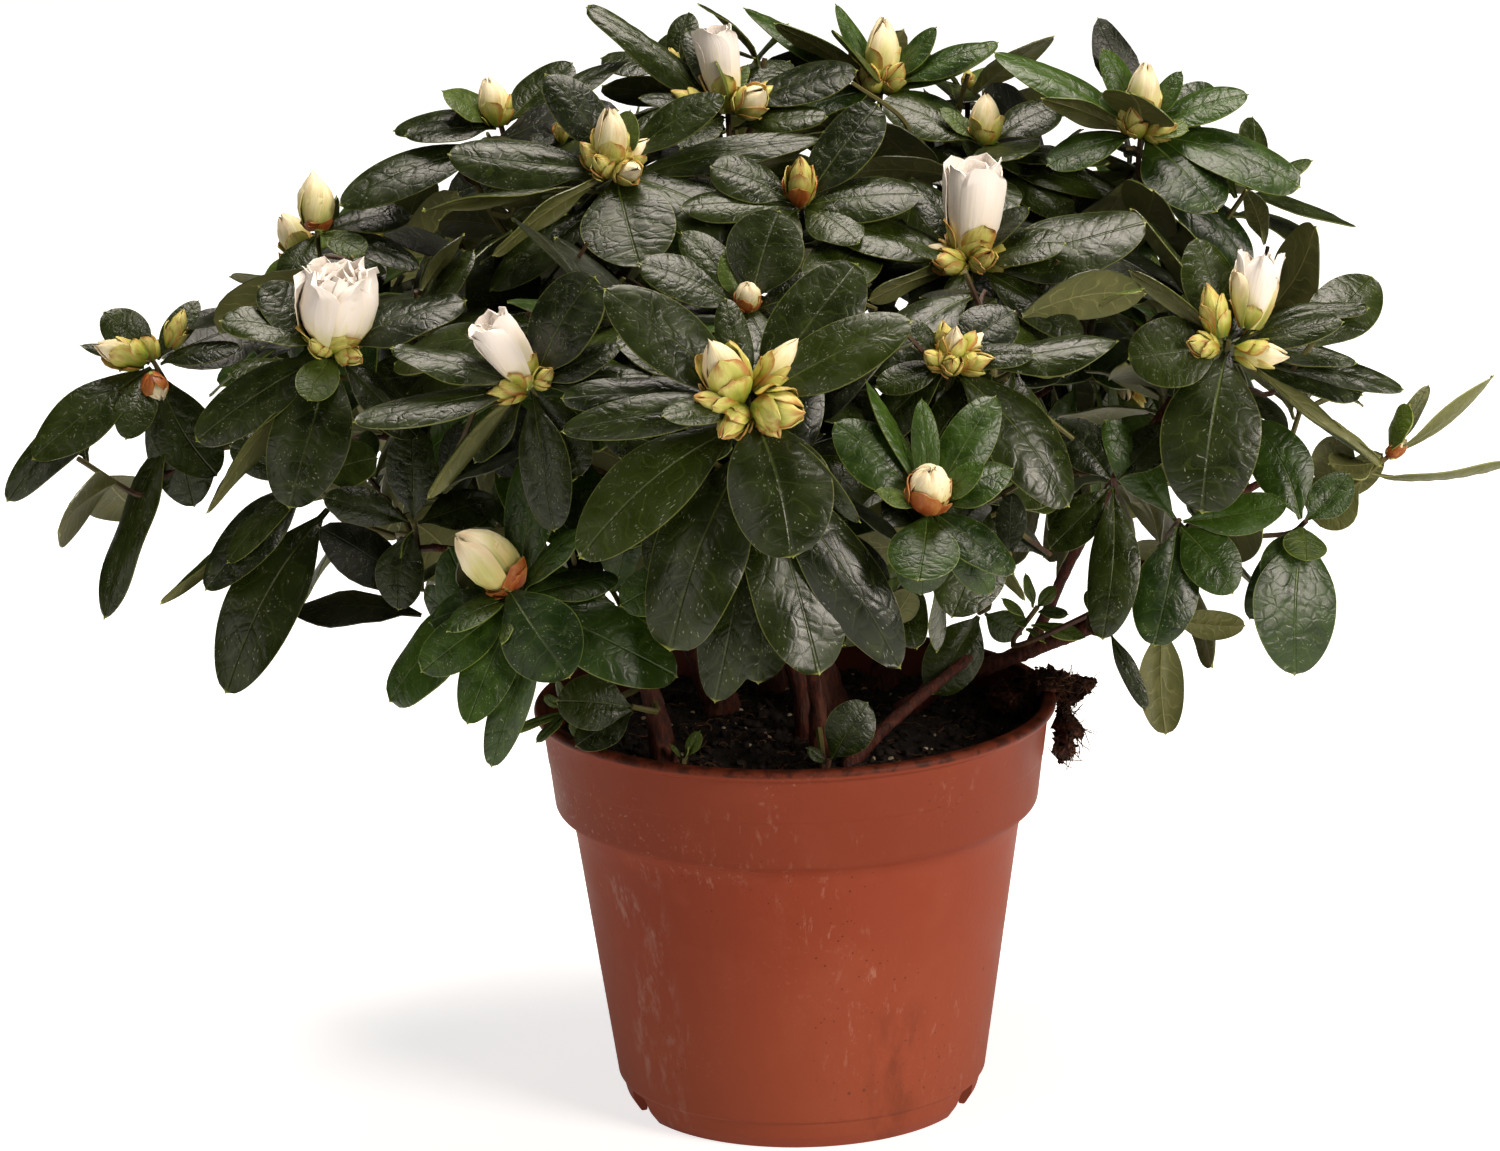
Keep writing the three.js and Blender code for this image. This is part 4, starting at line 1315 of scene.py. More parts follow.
    def dress(self, kind, rng, base, axis):
        """The buds of one shoot."""
        if self.scales.triangles() > SCALE_LIMIT and not self.full:
            self.full.append(self.scales)
            self.scales = Batch("bud_scales_2", "leaf", self.scales.material)
        for place, heading, height, radius, ripe in GROUPS.get(kind, ()):
            blade = PETAL if height > 13 else SCALE
            start = base + view_vector(*place) * MM
            self.small(rng, start, view_vector(*heading).normalized(), height, radius, ripe, blade)
        if kind in OVALS:
            self.oval(rng, base, axis, *OVALS[kind])
        elif kind == "cluster":
            self.cluster(rng, base, axis, rng.choice((4, 5)))
            self.small(rng, base, axis, rng.uniform(10, 13), 3.3, 0.4)
        elif kind == "flame":
            self.cluster(rng, base, axis, 5, 10.5)
            self.flame(rng, base, axis)
        elif kind == "flame_small":
            self.flame(rng, base, axis, 13.5, 4.0)
        elif kind == "white":
            self.cluster(rng, base, axis, 4, 10, (52, 84))
            self.opening(rng, base, axis, 23, 10.6, CUP, 0.16, 0.3)
        elif kind == "white_bud":
            self.cluster(rng, base, axis, 3, 9, (55, 85))
            self.opening(rng, base, axis, 22, 6.2, TULIP, 0.1, 0.36)
        elif kind == "white_small":
            self.opening(rng, base, (axis - VIEW_RIGHT * 0.1).normalized(), 24, 5.9, TULIP, 0.08, 0.5)
        elif kind == "tall":
            self.cluster(rng, base, axis, 6, 11, (60, 92))
            self.opening(rng, base, axis, 27, 8.2, TULIP, 0.07, 0.46)
        elif kind == "twin":
            self.twin(rng, base)
        elif kind == "oval":
            lean = view_vector(-0.3, -0.1, 0).normalized()
            self.oval(rng, base + VIEW_UP * 3 * MM, (axis + lean * 0.1).normalized(), 21, 7.2, 0.3)
        elif kind == "cluster_red":
            low = base + view_vector(-1, -3, 3) * MM
            self.oval(rng, low, view_vector(0.35, -0.75, 0.5).normalized(), 9, 3.2, 0.8)
        elif kind == "tiny":
            self.small(rng, base, axis, 6.5, 1.9, 0.1)
        elif kind == "brown":
            self.small(rng, base, axis, 14, 3.9, 0)
            self.whorl(self.red, SCALE, rng, base, axis, 3, 13, 4.5, LOOSE, 0.8, 0.55)


# ---- shoots ----

# Shoots that face the front. Each row: the mass it belongs to, its place as fractions of that mass's box,
# the way it points (right, up, nearer), its buds, the kind of its leaves, and its leaves. A leaf gives the
# place of its tip from the shoot's own tip (right, up, nearer) and its width, in millimetres. Then, if need
# be, it gives how far down the shoot it sits, how far it is rolled about its midrib in degrees, and how far
# its face is turned to the front, 0 to 1.
SHOOTS = [
    ("front_centre", (0.48, 0.11, 0.78), (-0.05, 0.65, 0.75), "rich", "deep", [
        (-34, 28, 2, 18), (27, 33, -4, 21), (40, 19, 6, 17), (-20, -3, 13, 9), (-46, -6, 6, 11),
        (-45, 2, 0, 11, 3), (-42, -37, 2, 20, 6), (10, -38, 10, 26), (-21, -61, -6, 24, 14),
        (16, -67, -8, 24, 18), (26, -30, 6, 7, 4, 60), (-5, 25, -8, 9), (-10, -74, -16, 19, 22),
        (1, -69, -13, 22, 22), (37, -67, -14, 18, 16)]),
    ("low_right", (0.5, 0.46, 1.07), (0.1, 0.75, 0.6), "cluster", "deep", [
        (29, -36, 4, 20), (41, 5, 0, 13), (-13, 11, 2, 8), (16, 13, -6, 15), (-18, -5, 2, 9),
        (-20, -20, -8, 12), (20, 2, 4, 8)]),
    ("front_right", (0.36, 0.68, 0.64), (0.03, 0.95, 0.25), "tall", "deep", [
        (-26, -9, 8, 10, 0, 50), (-38, 11, 0, 17, 0, 0, 0.4), (44, 9, 2, 22, 2, 0, 0.6), (23, 4, 8, 14),
        (14, 13, 4, 9), (27, -20, 10, 12), (-16, 4, 10, 5), (-6, -14, 12, 7), (-14, 22, -10, 12),
        (6, 16, -14, 12)]),
    ("upper_right", (0.55, 0.35, 0.47), (0.15, 0.9, 0.4), "twin", "deep", [
        (-7, 27, -4, 15), (28, 5, 8, 8, 0, 30), (36, 9, -2, 7, 0, 30), (-25, -3, 4, 20, 0, 0, 0.7),
        (-8, -43, 8, 26), (37, -32, 10, 6, 0, 150, 0.6), (-23, 36, -8, 10, 2, 60), (32, -5, 2, 7),
        (45, -12, -8, 8, 3, 40), (34, -13, -6, 14, 4), (-24, 19, 2, 6, 0, 60), (5, 10, -14, 10)]),
    ("top_right", (0.51, 0.49, 0.66), (0.08, 0.93, 0.3), "flame", "green", [
        (-9, 21, 0, 9), (10, 15, 2, 7), (-3, 9, 17, 21), (27, 9, 2, 13), (40, -15, 8, 18),
        (18, -21, 14, 23), (-37, 22, -6, 14, 1, 0, 0.4), (-25, 9, 4, 9, 1, 50), (11, 0, 7, 8),
        (-24, -8, 4, 12), (20, 12, -16, 12), (28, -35, -8, 15, 4)]),
    ("top_back", (0.35, 0.52, 0.64), (0.05, 1.0, 0.1), "flame", "green", [
        (-35, 22, -4, 12, 2), (-27, 17, 6, 9, 0, 40), (-11, 22, -2, 6), (-11, 13, 17, 17),
        (28, 10, 6, 10, 0, 40), (14, 15, 2, 9), (31, 12, -6, 9, 2, 50), (21, -14, 10, 16),
        (-20, -6, 6, 12), (4, 8, -18, 14)]),
    ("top_right", (0.01, 0.67, 0.58), (0.0, 0.97, 0.2), "flame_small", "deep", [
        (-11, 9, 0, 6), (8, -4, 17, 19), (26, -11, 8, 10, 0, 40), (15, -7, 6, 13),
        (34, -15, 12, 11, 4, 0, 0.5), (21, -20, 14, 12, 4, 0, 0.6), (31, -6, 14, 10, 3, 0, 0.4),
        (-26, 12, -4, 15), (20, 10, -8, 13), (2, 8, -14, 12)]),
    ("top_left", (0.25, 0.82, 0.78), (-0.25, 0.95, 0.15), "flame_small", "deep", [
        (-14, 9, 2, 14), (18, 16, -6, 16), (33, 17, -4, 10, 2), (-24, -2, 4, 12),
        (-42, -20, 10, 15, 5, 0, 0.6), (-28, 0, -4, 12), (-10, 6, -14, 12)]),
    ("top_left", (0.64, 0.42, 0.69), (-0.05, 0.85, 0.5), "flame", "deep", [
        (-17, 25, -2, 13), (28, 18, 4, 13), (53, 7, 2, 10, 3), (39, -20, 8, 21), (6, -25, 17, 25),
        (-31, -21, 10, 9, 0, 60), (-42, 5, 0, 15, 0, 0, 0.7), (-49, -9, 4, 10, 6, 40),
        (-32, -30, 4, 12, 8), (4, 14, 4, 9), (12, 16, -8, 8)]),
    ("top_centre", (0.54, 0.32, 0.53), (-0.05, 0.97, 0.2), "white_small", "deep", [
        (-10, 22, -4, 10), (-36, 29, -6, 11, 3), (-2, 12, 10, 8), (33, 10, 4, 17), (5, 12, -2, 5),
        (25, -2, 9, 11, 4), (-22, 4, 6, 8), (-12, -9, 12, 11), (16, 14, -14, 13)]),
    ("upper_left", (0.29, 0.8, 0.72), (-0.05, 0.98, 0.1), "oval_pale", "deep", [
        (12, -6, 8, 9), (24, 4, -6, 12), (-8, -14, 8, 11), (26, -10, 4, 11)]),
    ("upper_left", (0.24, 0.92, 0.58), (-0.5, 0.8, 0.1), "flame_small", "deep", [
        (20, -4, -4, 8), (-12, -6, -4, 11), (10, 8, -10, 10)]),
    ("upper_left", (0.39, 0.1, 0.45), (0.1, 0.92, 0.35), "white", "deep", [
        (-18, 16, 0, 15), (-28, 8, 4, 12), (33, 12, -2, 16), (-12, -40, 8, 21), (-6, -12, 10, 11),
        (-33, -40, 4, 9, 0, 60), (-35, -22, 2, 16, 0, 0, 0.6), (8, 10, -14, 12), (20, -22, -4, 13)]),
    ("left_wing", (0.52, 0.53, 0.85), (-0.45, 0.8, 0.3), "cluster_red", "deep", [
        (-12, 13, 4, 12, 0, 0, 0.8), (22, 4, 4, 9), (-32, -24, 6, 16, 0, 0, 0.6),
        (-40, -35, 0, 13, 0, 0, 0.6), (-7, -19, 10, 11, 0, 0, 0.7), (11, 16, -4, 8, 0, 0, 0.8),
        (9, -37, -6, 18, 0, 0, 0.9), (-15, -66, 0, 12, 14, 0, 0.3), (-18, 5, 2, 4),
        (15, -29, -4, 17, 0, 0, 0.9)]),
    ("front_left", (0.47, 0.24, 0.49), (-0.5, 0.8, 0.35), "white_bud", "deep", [
        (16, 26, 4, 20), (22, 9, 6, 10), (30, 2, 6, 11), (-26, -27, 4, 8, 0, 60), (5, -36, 4, 14),
        (-34, 10, 3, 11), (-43, -8, 8, 12), (-14, -18, -4, 12), (12, -22, 2, 13)]),
    ("low_left", (0.45, 0.13, 0.66), (-0.7, 0.68, 0.35), "oval", "green", [
        (16, 16, 6, 9), (12, -20, 12, 21, -6), (39, -21, -4, 19), (8, 40, -4, 14, 0, 0, 0.6),
        (-24, -18, 2, 14, 0, 0, 0.7), (-17, -8, 8, 9), (-13, -31, 5, 14, 0, 0, 0.9), (-4, -11, 8, 4),
        (-8, -43, -4, 10, 8, 0, 0.8), (-22, -6, -6, 12), (24, 4, -8, 12)]),
    ("low_right", (0.39, 0.05, 0.66), (0.05, 0.75, 0.65), "small_oval", "green", [
        (-1, 26, 2, 7), (-14, 31, -2, 9, 0, 30), (-22, 21, 0, 16), (13, 10, 6, 8), (20, 9, 2, 15),
        (17, 27, -4, 13), (20, -16, 6, 12), (-3, -17, 12, 18), (-12, 4, 8, 6), (-2, -21, -8, 14, 4),
        (15, -21, -6, 10)]),
    ("right_wing", (0.39, 0.55, 0.01), (0.3, 0.9, 0.3), "", "old", [
        (2, 17, 2, 12, 0, 180, 1), (14, 12, -3, 9, 0, 180, 0.8)]),
    ("right_wing", (0.6, 0.55, 0.28), (0.75, 0.6, 0.1), "red_tip", "olive", [
        (28, 20, 4, 9, 0, 150), (31, -3, 2, 9, 8, 160), (11, 18, -2, 5), (5, 13, 4, 11, 0, 180),
        (-14, 9, 6, 11, 2, 170), (-15, -2, 4, 14, 4, 180), (-20, -15, -4, 17, 8)]),
    ("right_lower", (0.9, 0.6, 0.66), (0.4, 0.3, 0.5), "", "green", [
        (-3, -39, 4, 24), (0, -9, 8, 12), (-14, -24, 0, 12), (-12, 26, -4, 16, 0, 0, 0.7),
        (12, 12, -4, 11), (-10, -14, 6, 10)]),
    ("right_lower", (0.48, 0.4, 0.72), (0.2, 0.3, 0.8), "", "green", [
        (27, 4, 4, 11), (13, -18, 6, 15), (-7, -31, 6, 17), (-18, 26, 4, 12)]),
    ("right_lower", (0.43, 0.4, 0.42), (0.2, 0.3, 0.8), "", "old", [
        (20, -3, 2, 8, 0, 180, 1), (0, -30, 0, 12, 0, 180, 0.9), (-3, 12, -6, 8)]),
    ("right_lower", (0.25, 0.4, 0.38), (0.2, 0.2, 0.8), "", "old", [
        (9, -20, 2, 5, 0, 25, 0.6), (-4, 10, -4, 7)]),
    ("right_lower", (0.27, 0.36, 0.86), (-0.1, 0.4, 0.8), "", "deep", [
        (-4, -40, 8, 14), (-14, 16, -4, 13), (14, 14, -4, 12), (-16, -16, -2, 12)]),
    ("top_front", (0.53, 0.67, 0.6), (0.0, 0.85, 0.5), "brown", "deep", [
        (20, 25, -4, 16), (-22, 10, 0, 14), (14, -10, 12, 14), (-12, -14, 12, 17), (30, 2, 4, 16),
        (-30, 0, 4, 12)]),
    ("top_front", (0.33, -0.11, 0.33), (0.0, 0.8, 0.6), "tiny_red", "deep", [
        (8, 24, 0, 20), (-4, 15, -2, 9), (-26, 12, 0, 14), (26, 6, 2, 15), (-16, 20, -8, 11)]),
    ("left_lower", (0.4, 0.3, 0.86), (-0.3, 0.5, 0.6), "", "deep", [
        (-23, -55, 4, 20, 12, 0, 0.9), (-27, -28, 6, 14, 0, 0, 0.7), (-21, -21, 8, 9, 0, 0, 0.3),
        (-39, -31, 0, 5, 0, 70), (-8, 14, 4, 12), (-20, 8, -4, 12), (16, 4, 4, 13)]),
    ("stem_left", (0.59, -0.16, 0.33), (-0.9, 0.2, 0.4), "", "old", [
        (-20, 2, 3, 15, 0, 0, 0.6), (-15, -9, 4, 11, 0, 0, 0.6)]),
    ("stem_left", (-0.11, 0.89, 0.28), (-0.8, 0.1, 0.3), "", "fresh", [
        (-5, 3, 2, 3), (3, -7, 4, 4, 2, 0, 0.5), (-7, -8, 3, 3, 2, 0, 0.5), (-14, -6, 0, 3, 4),
        (-2, 7, 0, 3)]),
    ("stem_left", (1.03, -0.16, 0.05), (0.1, 1, 0.1), "", "fresh", [
        (4, 7, 1, 4, 0, 0, 0.6), (-3, 4, 1, 2), (1, 3, 2, 2)]),
    ("stem_front", (0.85, 0.12, 0.06), (0.2, 0.8, 0.3), "", "old", [
        (10, 15, 3, 13, 0, 0, 0.9), (-5, 4, 2, 4)]),
    ("low_right", (0.65, 1.5, -0.19), (-0.3, -0.2, 0.6), "", "deep", [
        (-13, -21, 2, 15, 0, 0, 0.9), (10, -6, 0, 9, 0, 0, 0.5), (-3, 12, -4, 10)]),
    ("right_lower", (0.03, 0.82, 0.34), (0.5, 0.7, 0.2), "", "fresh", [
        (8, -1, 2, 4, 0, 0, 0.6), (5, 6, 0, 4), (-5, -3, 2, 4, 3, 0, 0.5), (-8, 3, 0, 4, 3), (-2, 9, 0, 4),
        (12, -7, 0, 5, 4, 0, 0.5), (2, -8, 2, 3, 5)]),
    ("left_lower", (0.8, 0.2, 0.7), (0.0, 0.4, 0.8), "", "deep", [
        (-4, -21, 6, 13), (-7, -15, 2, 6, 0, 60), (-22, 7, 4, 10, 0, 0, 1), (20, 6, -8, 12), (0, 24, 2, 14)]),
]

# Each kind of leaf: its darker and its lighter shade, the midrib's, the margin's, and its roughness.
LEAF_LOOKS = {
    "deep": ((17, 26, 3), (41, 53, 9), (98, 114, 50), (104, 110, 52), 0.3),
    # the inner leaves are coloured darker than the deep ones, as painted shade inside the crown
    "inner": ((8, 13, 2), (22, 30, 5), (66, 80, 34), (56, 62, 28), 0.42),
    "green": ((22, 41, 4), (52, 78, 13), (108, 128, 56), (110, 126, 52), 0.33),
    "olive": ((84, 90, 44), (116, 120, 66), (150, 154, 100), (152, 156, 96), 0.46),
    "fresh": ((44, 62, 14), (78, 98, 28), (140, 156, 76), (150, 160, 76), 0.38),
}
TURNED = 0.4  # how far a leaf of a front shoot is turned to the front, where its row doesn't say
FRESH_LENGTH = 17  # leaves shorter than this are young and brighter, except in rows whose kind is "old"
FINE_LENGTH = 20  # longer leaves of the front shoots have the finest blade
PIECE_LIMIT = 185000  # triangles in a piece of leaves, after which the next is begun


class Shoot:
    """A leafy tip: where its twig ends, which way it points, and the mass that it belongs to."""

    def __init__(self, mass, at, axis, hero=False, inner=False):
        self.mass, self.at, self.axis, self.hero, self.inner = mass, at, axis, hero, inner
        self.reach = 0.0  # how far down the twig its lowest leaf sits


def grow_front_shoots(foliage, blossom):
    shoots = []
    for order, (mass, place, axis, buds, kind, leaves) in enumerate(SHOOTS):
        rng = random.Random(f"front {order}")
        node = mass if mass.startswith("stem_") else "leaves_" + mass
        at = spot(node, place)
        axis = view_vector(*axis).normalized()
        shoot = Shoot(node, at, axis, True)
        for right, up, near, width, *rest in leaves:
            drop, roll, turned = list(rest) + [0, 0, 0 if rest[1:2] else TURNED][len(rest):]
            base = at - axis * drop * MM
            tip = at + view_vector(right, up, near) * MM
            along = (tip - base).normalized()
            length = (tip - base).length / MM
            face = lerp(axis + UP * 0.15, VIEW_NEAR, turned)
            face = Matrix.Rotation(math.radians(roll), 3, along) @ square_to(face, along)
            base = base + along * min(1.2, length * 0.08) * MM
            shade = "deep" if kind == "old" else "fresh" if length < FRESH_LENGTH else kind
            foliage.keep(make_leaf(rng, base, along, face, length, width, kind=shade), shown=True)
            shoot.reach = max(shoot.reach, (drop + 6) * MM)
        blossom.dress(buds, rng, at, axis)
        if buds:
            foliage.show(at + axis * 9 * MM, 12 * MM)
        shoots.append(shoot)
    return shoots


GOLDEN_ANGLE = math.radians(137.5)
TRIES = 6  # leaves to choose from for each place on a shoot


def whorl(rng, shoot, kind, count):
    """Leaves in a spiral down a shoot, small and upright to large and spread: each a list of candidates."""
    side = square_to(random_vector(rng), shoot.axis)
    turn = rng.uniform(0, TAU)
    for i in range(count):
        age = i / (count - 1)
        turn += GOLDEN_ANGLE
        candidates = []
        for _ in range(TRIES):
            azimuth = turn + rng.gauss(0, 0.3)
            opening = math.radians(lerp(34, 100, age ** 0.7) + rng.gauss(0, 9))
            out = Matrix.Rotation(azimuth, 3, shoot.axis) @ side
            along = shoot.axis * math.cos(opening) + out * math.sin(opening) - UP * 0.16 * age
            length = lerp(17, 37, min(1, age * 2.2) ** 0.8) * rng.uniform(0.85, 1.12)
            drop = lerp(0, 15, age ** 1.6)
            base = shoot.at - shoot.axis * drop * MM + out * 0.8 * MM
            roll = Matrix.Rotation(rng.gauss(0, 0.2), 3, along.normalized())
            face = roll @ square_to(shoot.axis + UP * 0.35, along.normalized())
            shade = "fresh" if length < FRESH_LENGTH else kind
            candidates.append(make_leaf(rng, base, along, face, length, kind=shade))
        shoot.reach = max(shoot.reach, (drop + 5) * MM)
        yield candidates


def mass_trees():
    trees = {}
    for node in MASS_NODES:
        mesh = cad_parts[node].data
        faces = [p.vertices[:] for p in mesh.polygons]
        trees[node] = BVHTree.FromPolygons([v.co[:] for v in mesh.vertices], faces)
    return trees


SPACING = 20.0  # between shoot tips on the crown
# ... and on the front of these masses, whose shoots are mostly laid out above
SPARSE = {"leaves_left_wing": 70, "leaves_left_lower": 60, "leaves_right_wing": 50, "leaves_right_lower": 40}
SPARSE_BACK = 30  # and on their backs
INSET = 13.0  # how far a shoot's tip sits inside its mass's surface
WALL_ROOM = 9.0  # a mass's surface this close to another mass is inside the crown
PICKS = 260  # places tried on each mass
CLASHES = 8  # the most that a crown leaf may cross the others
BUD_ROOM = 3.5
BUDS = ("", "cluster", "flame_small", "tiny", "flame", "oval", "white")
FRONT_ODDS = (80, 0, 0, 20, 0, 0, 0)
TOP_ODDS = (66, 12, 0, 22, 0, 0, 0)
BACK_ODDS = (34, 18, 12, 16, 8, 5, 7)
LOW_ODDS = (74, 5, 2, 16, 0, 3, 0)


def shoot_spots(rng):
    """Random places over the crown's outside: the mass, the place just inside it, and the way out."""
    trees = mass_trees()
    spots = []
    for node in MASS_NODES:
        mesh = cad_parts[node].data
        mesh.calc_loop_triangles()
        areas = [t.area for t in mesh.loop_triangles]
        for pick in rng.choices(range(len(areas)), weights=areas, k=PICKS):
            triangle = mesh.loop_triangles[pick]
            a, b, c = (mesh.vertices[i].co for i in triangle.vertices)
            u, v = sorted((rng.random(), rng.random()))
            point = a * u + b * (v - u) + c * (1 - v)
            normal = triangle.normal
            others = (tree for name, tree in trees.items() if name != node)
            wall = any(tree.find_nearest(point, WALL_ROOM * MM)[0] is not None for tree in others)
            inner = (point - CROWN_MIDDLE).normalized().dot(normal) < -0.15
            if not wall and not inner:
                spots.append((node, point - normal * INSET * MM, normal))
    rng.shuffle(spots)
    return spots


def grow_crown_shoots(foliage, blossom, shoots):
    """Shoots over the rest of the crown, on every side, where the front shoots leave room."""
    spots = shoot_spots(random.Random(77))
    placed = [s.at for s in shoots]
    for node, point, normal in spots:
        back = SPARSE_BACK if node in SPARSE else SPACING
        gap = SPARSE.get(node, SPACING) if normal.y < 0.3 else back
        low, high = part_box(node)
        if node in SPARSE and point.z < ((low + high) / 2).z:
            continue
        if any((point - other).length < gap * MM for other in placed):
            continue
        placed.append(point)
        outward = (point - CROWN_MIDDLE).normalized()
        axis = (normal * 0.6 + outward * 0.5 + UP * 0.35).normalized()
        shoots.append(Shoot(node, point, axis))
    for shoot in [s for s in shoots if not s.hero]:
        local = random.Random(f"{shoot.at.x:.4f} {shoot.at.y:.4f}")
        kind = local.choices(("deep", "green"), (0.72, 0.28) if shoot.at.z > 0.2 else (0.4, 0.6))[0]
        before = len(foliage.leaves)
        count = local.choice((7, 8, 9))
        kept = [foliage.best(candidates, CLASHES) for candidates in whorl(local, shoot, kind, count)]
        if sum(kept) < 2:
            shoots.remove(shoot)
            continue
        if shoot.at.y < 0.02:
            odds = FRONT_ODDS
        elif shoot.at.y < 0.06 or shoot.at.z > 0.236:
            odds = TOP_ODDS
        else:
            odds = BACK_ODDS if shoot.at.z > 0.18 else LOW_ODDS
        buds = local.choices(BUDS, odds)[0]
        if any(foliage.crowds(shoot.at + shoot.axis * rise * MM, BUD_ROOM * MM, before) for rise in (3, 9)):
            buds = ""
        blossom.dress(buds, local, shoot.at, shoot.axis)


INNER_SPACING = 15.0
INNER_DEPTHS = (24.0, 38.0)  # how far the inner leaves' twigs sit inside the surface of their mass
INNER_PICKS = 90
INNER_LEAVES = 6
INNER_CLASHES = 18
INNER_MARGIN = 3.0  # how far the tips of inner leaves may stand out of the masses
GAP_STEP = 6.0  # between the lines of sight that look for gaps
GAP_STEPS = 38  # of them each way from the middle
GAP_DEPTH = 46.0  # only where the crown is at least this thick
GAP_ROOM = 15.0
GAP_LOWEST = 150.0
GAP_MIDDLE = Vector((0, 0, 200)) * MM
GAP_VIEWS = ((-90, 15), (0, 12), (90, 12), (180, 12), (-90, 70))  # bearing and height


def grow_inner_leaves(foliage, shoots, solids):
    """Older, plainer leaves on the twigs inside the crown, which close it from every side, coloured darker as
    painted shade.
    """
    rng = random.Random(31)
    placed = [s.at for s in shoots]
    found = []
    for node in [n for n in MASS_NODES if n not in SPARSE]:
        low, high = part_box(node)
        centre = (low + high) / 2
        vertices = list(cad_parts[node].data.vertices)
        for vertex in rng.sample(vertices, min(INNER_PICKS, len(vertices))):
            inward = (centre - vertex.co).normalized()
            point = vertex.co + inward * rng.uniform(*INNER_DEPTHS) * MM
            if all((point - other).length > INNER_SPACING * MM for other in placed):
                placed.append(point)
                found.append((node, point, -inward))
    for node, point, outward in found:
        dress_inside(foliage, shoots, solids, rng, node, point, (outward + UP * 0.4).normalized())


def within(solids, point, margin):
    """Whether a point is inside one of the solids or less than the margin outside it."""
    for tree in solids.values():
        surface, normal, _, distance = tree.find_nearest(point)
        if distance < margin or (point - surface).dot(normal) < 0:
            return True
    return False


def dress_inside(foliage, shoots, solids, rng, node, point, axis):
    """A shoot inside the crown, of leaves whose tips stay in the masses."""
    shoot = Shoot(node, point, axis, inner=True)
    kept = 0
    for candidates in whorl(rng, shoot, "inner", INNER_LEAVES):
        inside = []
        for leaf in candidates:
            # the inner look is darker, as painted shade deep in the crown
            leaf["kind"] = "inner"
            tip = leaf["base"] + leaf["along"] * leaf["length"] * MM
            if within(solids, tip, INNER_MARGIN * MM):
                inside.append(leaf)
        if inside:
            kept += foliage.best(inside, INNER_CLASHES)
    if kept:
        shoots.append(shoot)


def whole_crown():
    """One tree of all the masses."""
    points, faces = [], []
    for node in MASS_NODES:
        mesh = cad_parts[node].data
        faces += [[i + len(points) for i in p.vertices] for p in mesh.polygons]
        points += [v.co[:] for v in mesh.vertices]
    return BVHTree.FromPolygons(points, faces)


def close_gaps(foliage, shoots, solids):
    """Leafy twigs deep in the crown wherever a look through it, from five sides, would meet nothing."""
    rng = random.Random(47)
    crown = whole_crown()
    steps = [k * GAP_STEP * MM for k in range(-GAP_STEPS, GAP_STEPS + 1)]
    for bearing, elevation in GAP_VIEWS:
        look = -polar(bearing, elevation)
        right = look.cross(UP).normalized()
        up = right.cross(look)
        leaves = foliage.whole()
        filled = []
        for across, along in itertools.product(steps, steps):
            start = GAP_MIDDLE + right * across + up * along - look * 0.5
            first = crown.ray_cast(start, look)[0]
            if first is None:
                continue
            last = crown.ray_cast(start + look, -look)[0]
            if (last - first).length < GAP_DEPTH * MM or leaves.ray_cast(start, look)[0] is not None:
                continue
            place = (first + last) / 2
            crowded = any((place - other).length < GAP_ROOM * MM for other in filled)
            if place.z < GAP_LOWEST * MM or crowded:
                continue
            filled.append(place)
            nearest = min(MASS_NODES, key=lambda node: solids[node].find_nearest(place)[3])
            if nearest not in SPARSE:
                dress_inside(foliage, shoots, solids, rng, nearest, place, (UP * 0.5 - look).normalized())


# ---- twigs ----


TWIG_POINTS = []  # along every twig so far
TWIG_TIP = 0.75 * MM
THINNEST_FORK = 0.85 * MM
TWIG_STEP = 2.2 * MM


def grow_side_twig(batch, shoot, rng):
    """A short thin twig from the nearest branch to a shoot inside the crown."""
    apart = np.linalg.norm(np.array(TWIG_POINTS) - np.array(shoot.at), axis=1)
    start = Vector(TWIG_POINTS[int(apart.argmin())])
    bulge = random_vector(rng) * 0.08 * apart.min()
    line, share = smooth_line([start, (start + shoot.at) / 2 + bulge, shoot.at], 2.5 * MM)
    sweep(batch, line, lerp(0.85 * MM, 0.55 * MM, share), 5)


def grow_last_twig(batch, start, heading, radius, shoot):
    """One twig that bends into the shoot's axis below its lowest leaf, and ends just past its tip."""
    foot = shoot.at - shoot.axis * min(max(shoot.reach, 6 * MM), 0.7 * (shoot.at - start).length)
    span = (foot - start).length
    middle = start + heading * span * 0.35
    bend = (middle + foot) / 2 if span > 12 * MM else (start + foot) / 2
    end = shoot.at + shoot.axis * 1.3 * MM
    line, share = smooth_line([start, bend, foot, end], TWIG_STEP)
    sweep(batch, line, lerp(radius, TWIG_TIP, share), 6)
    TWIG_POINTS.extend(line[:-3])


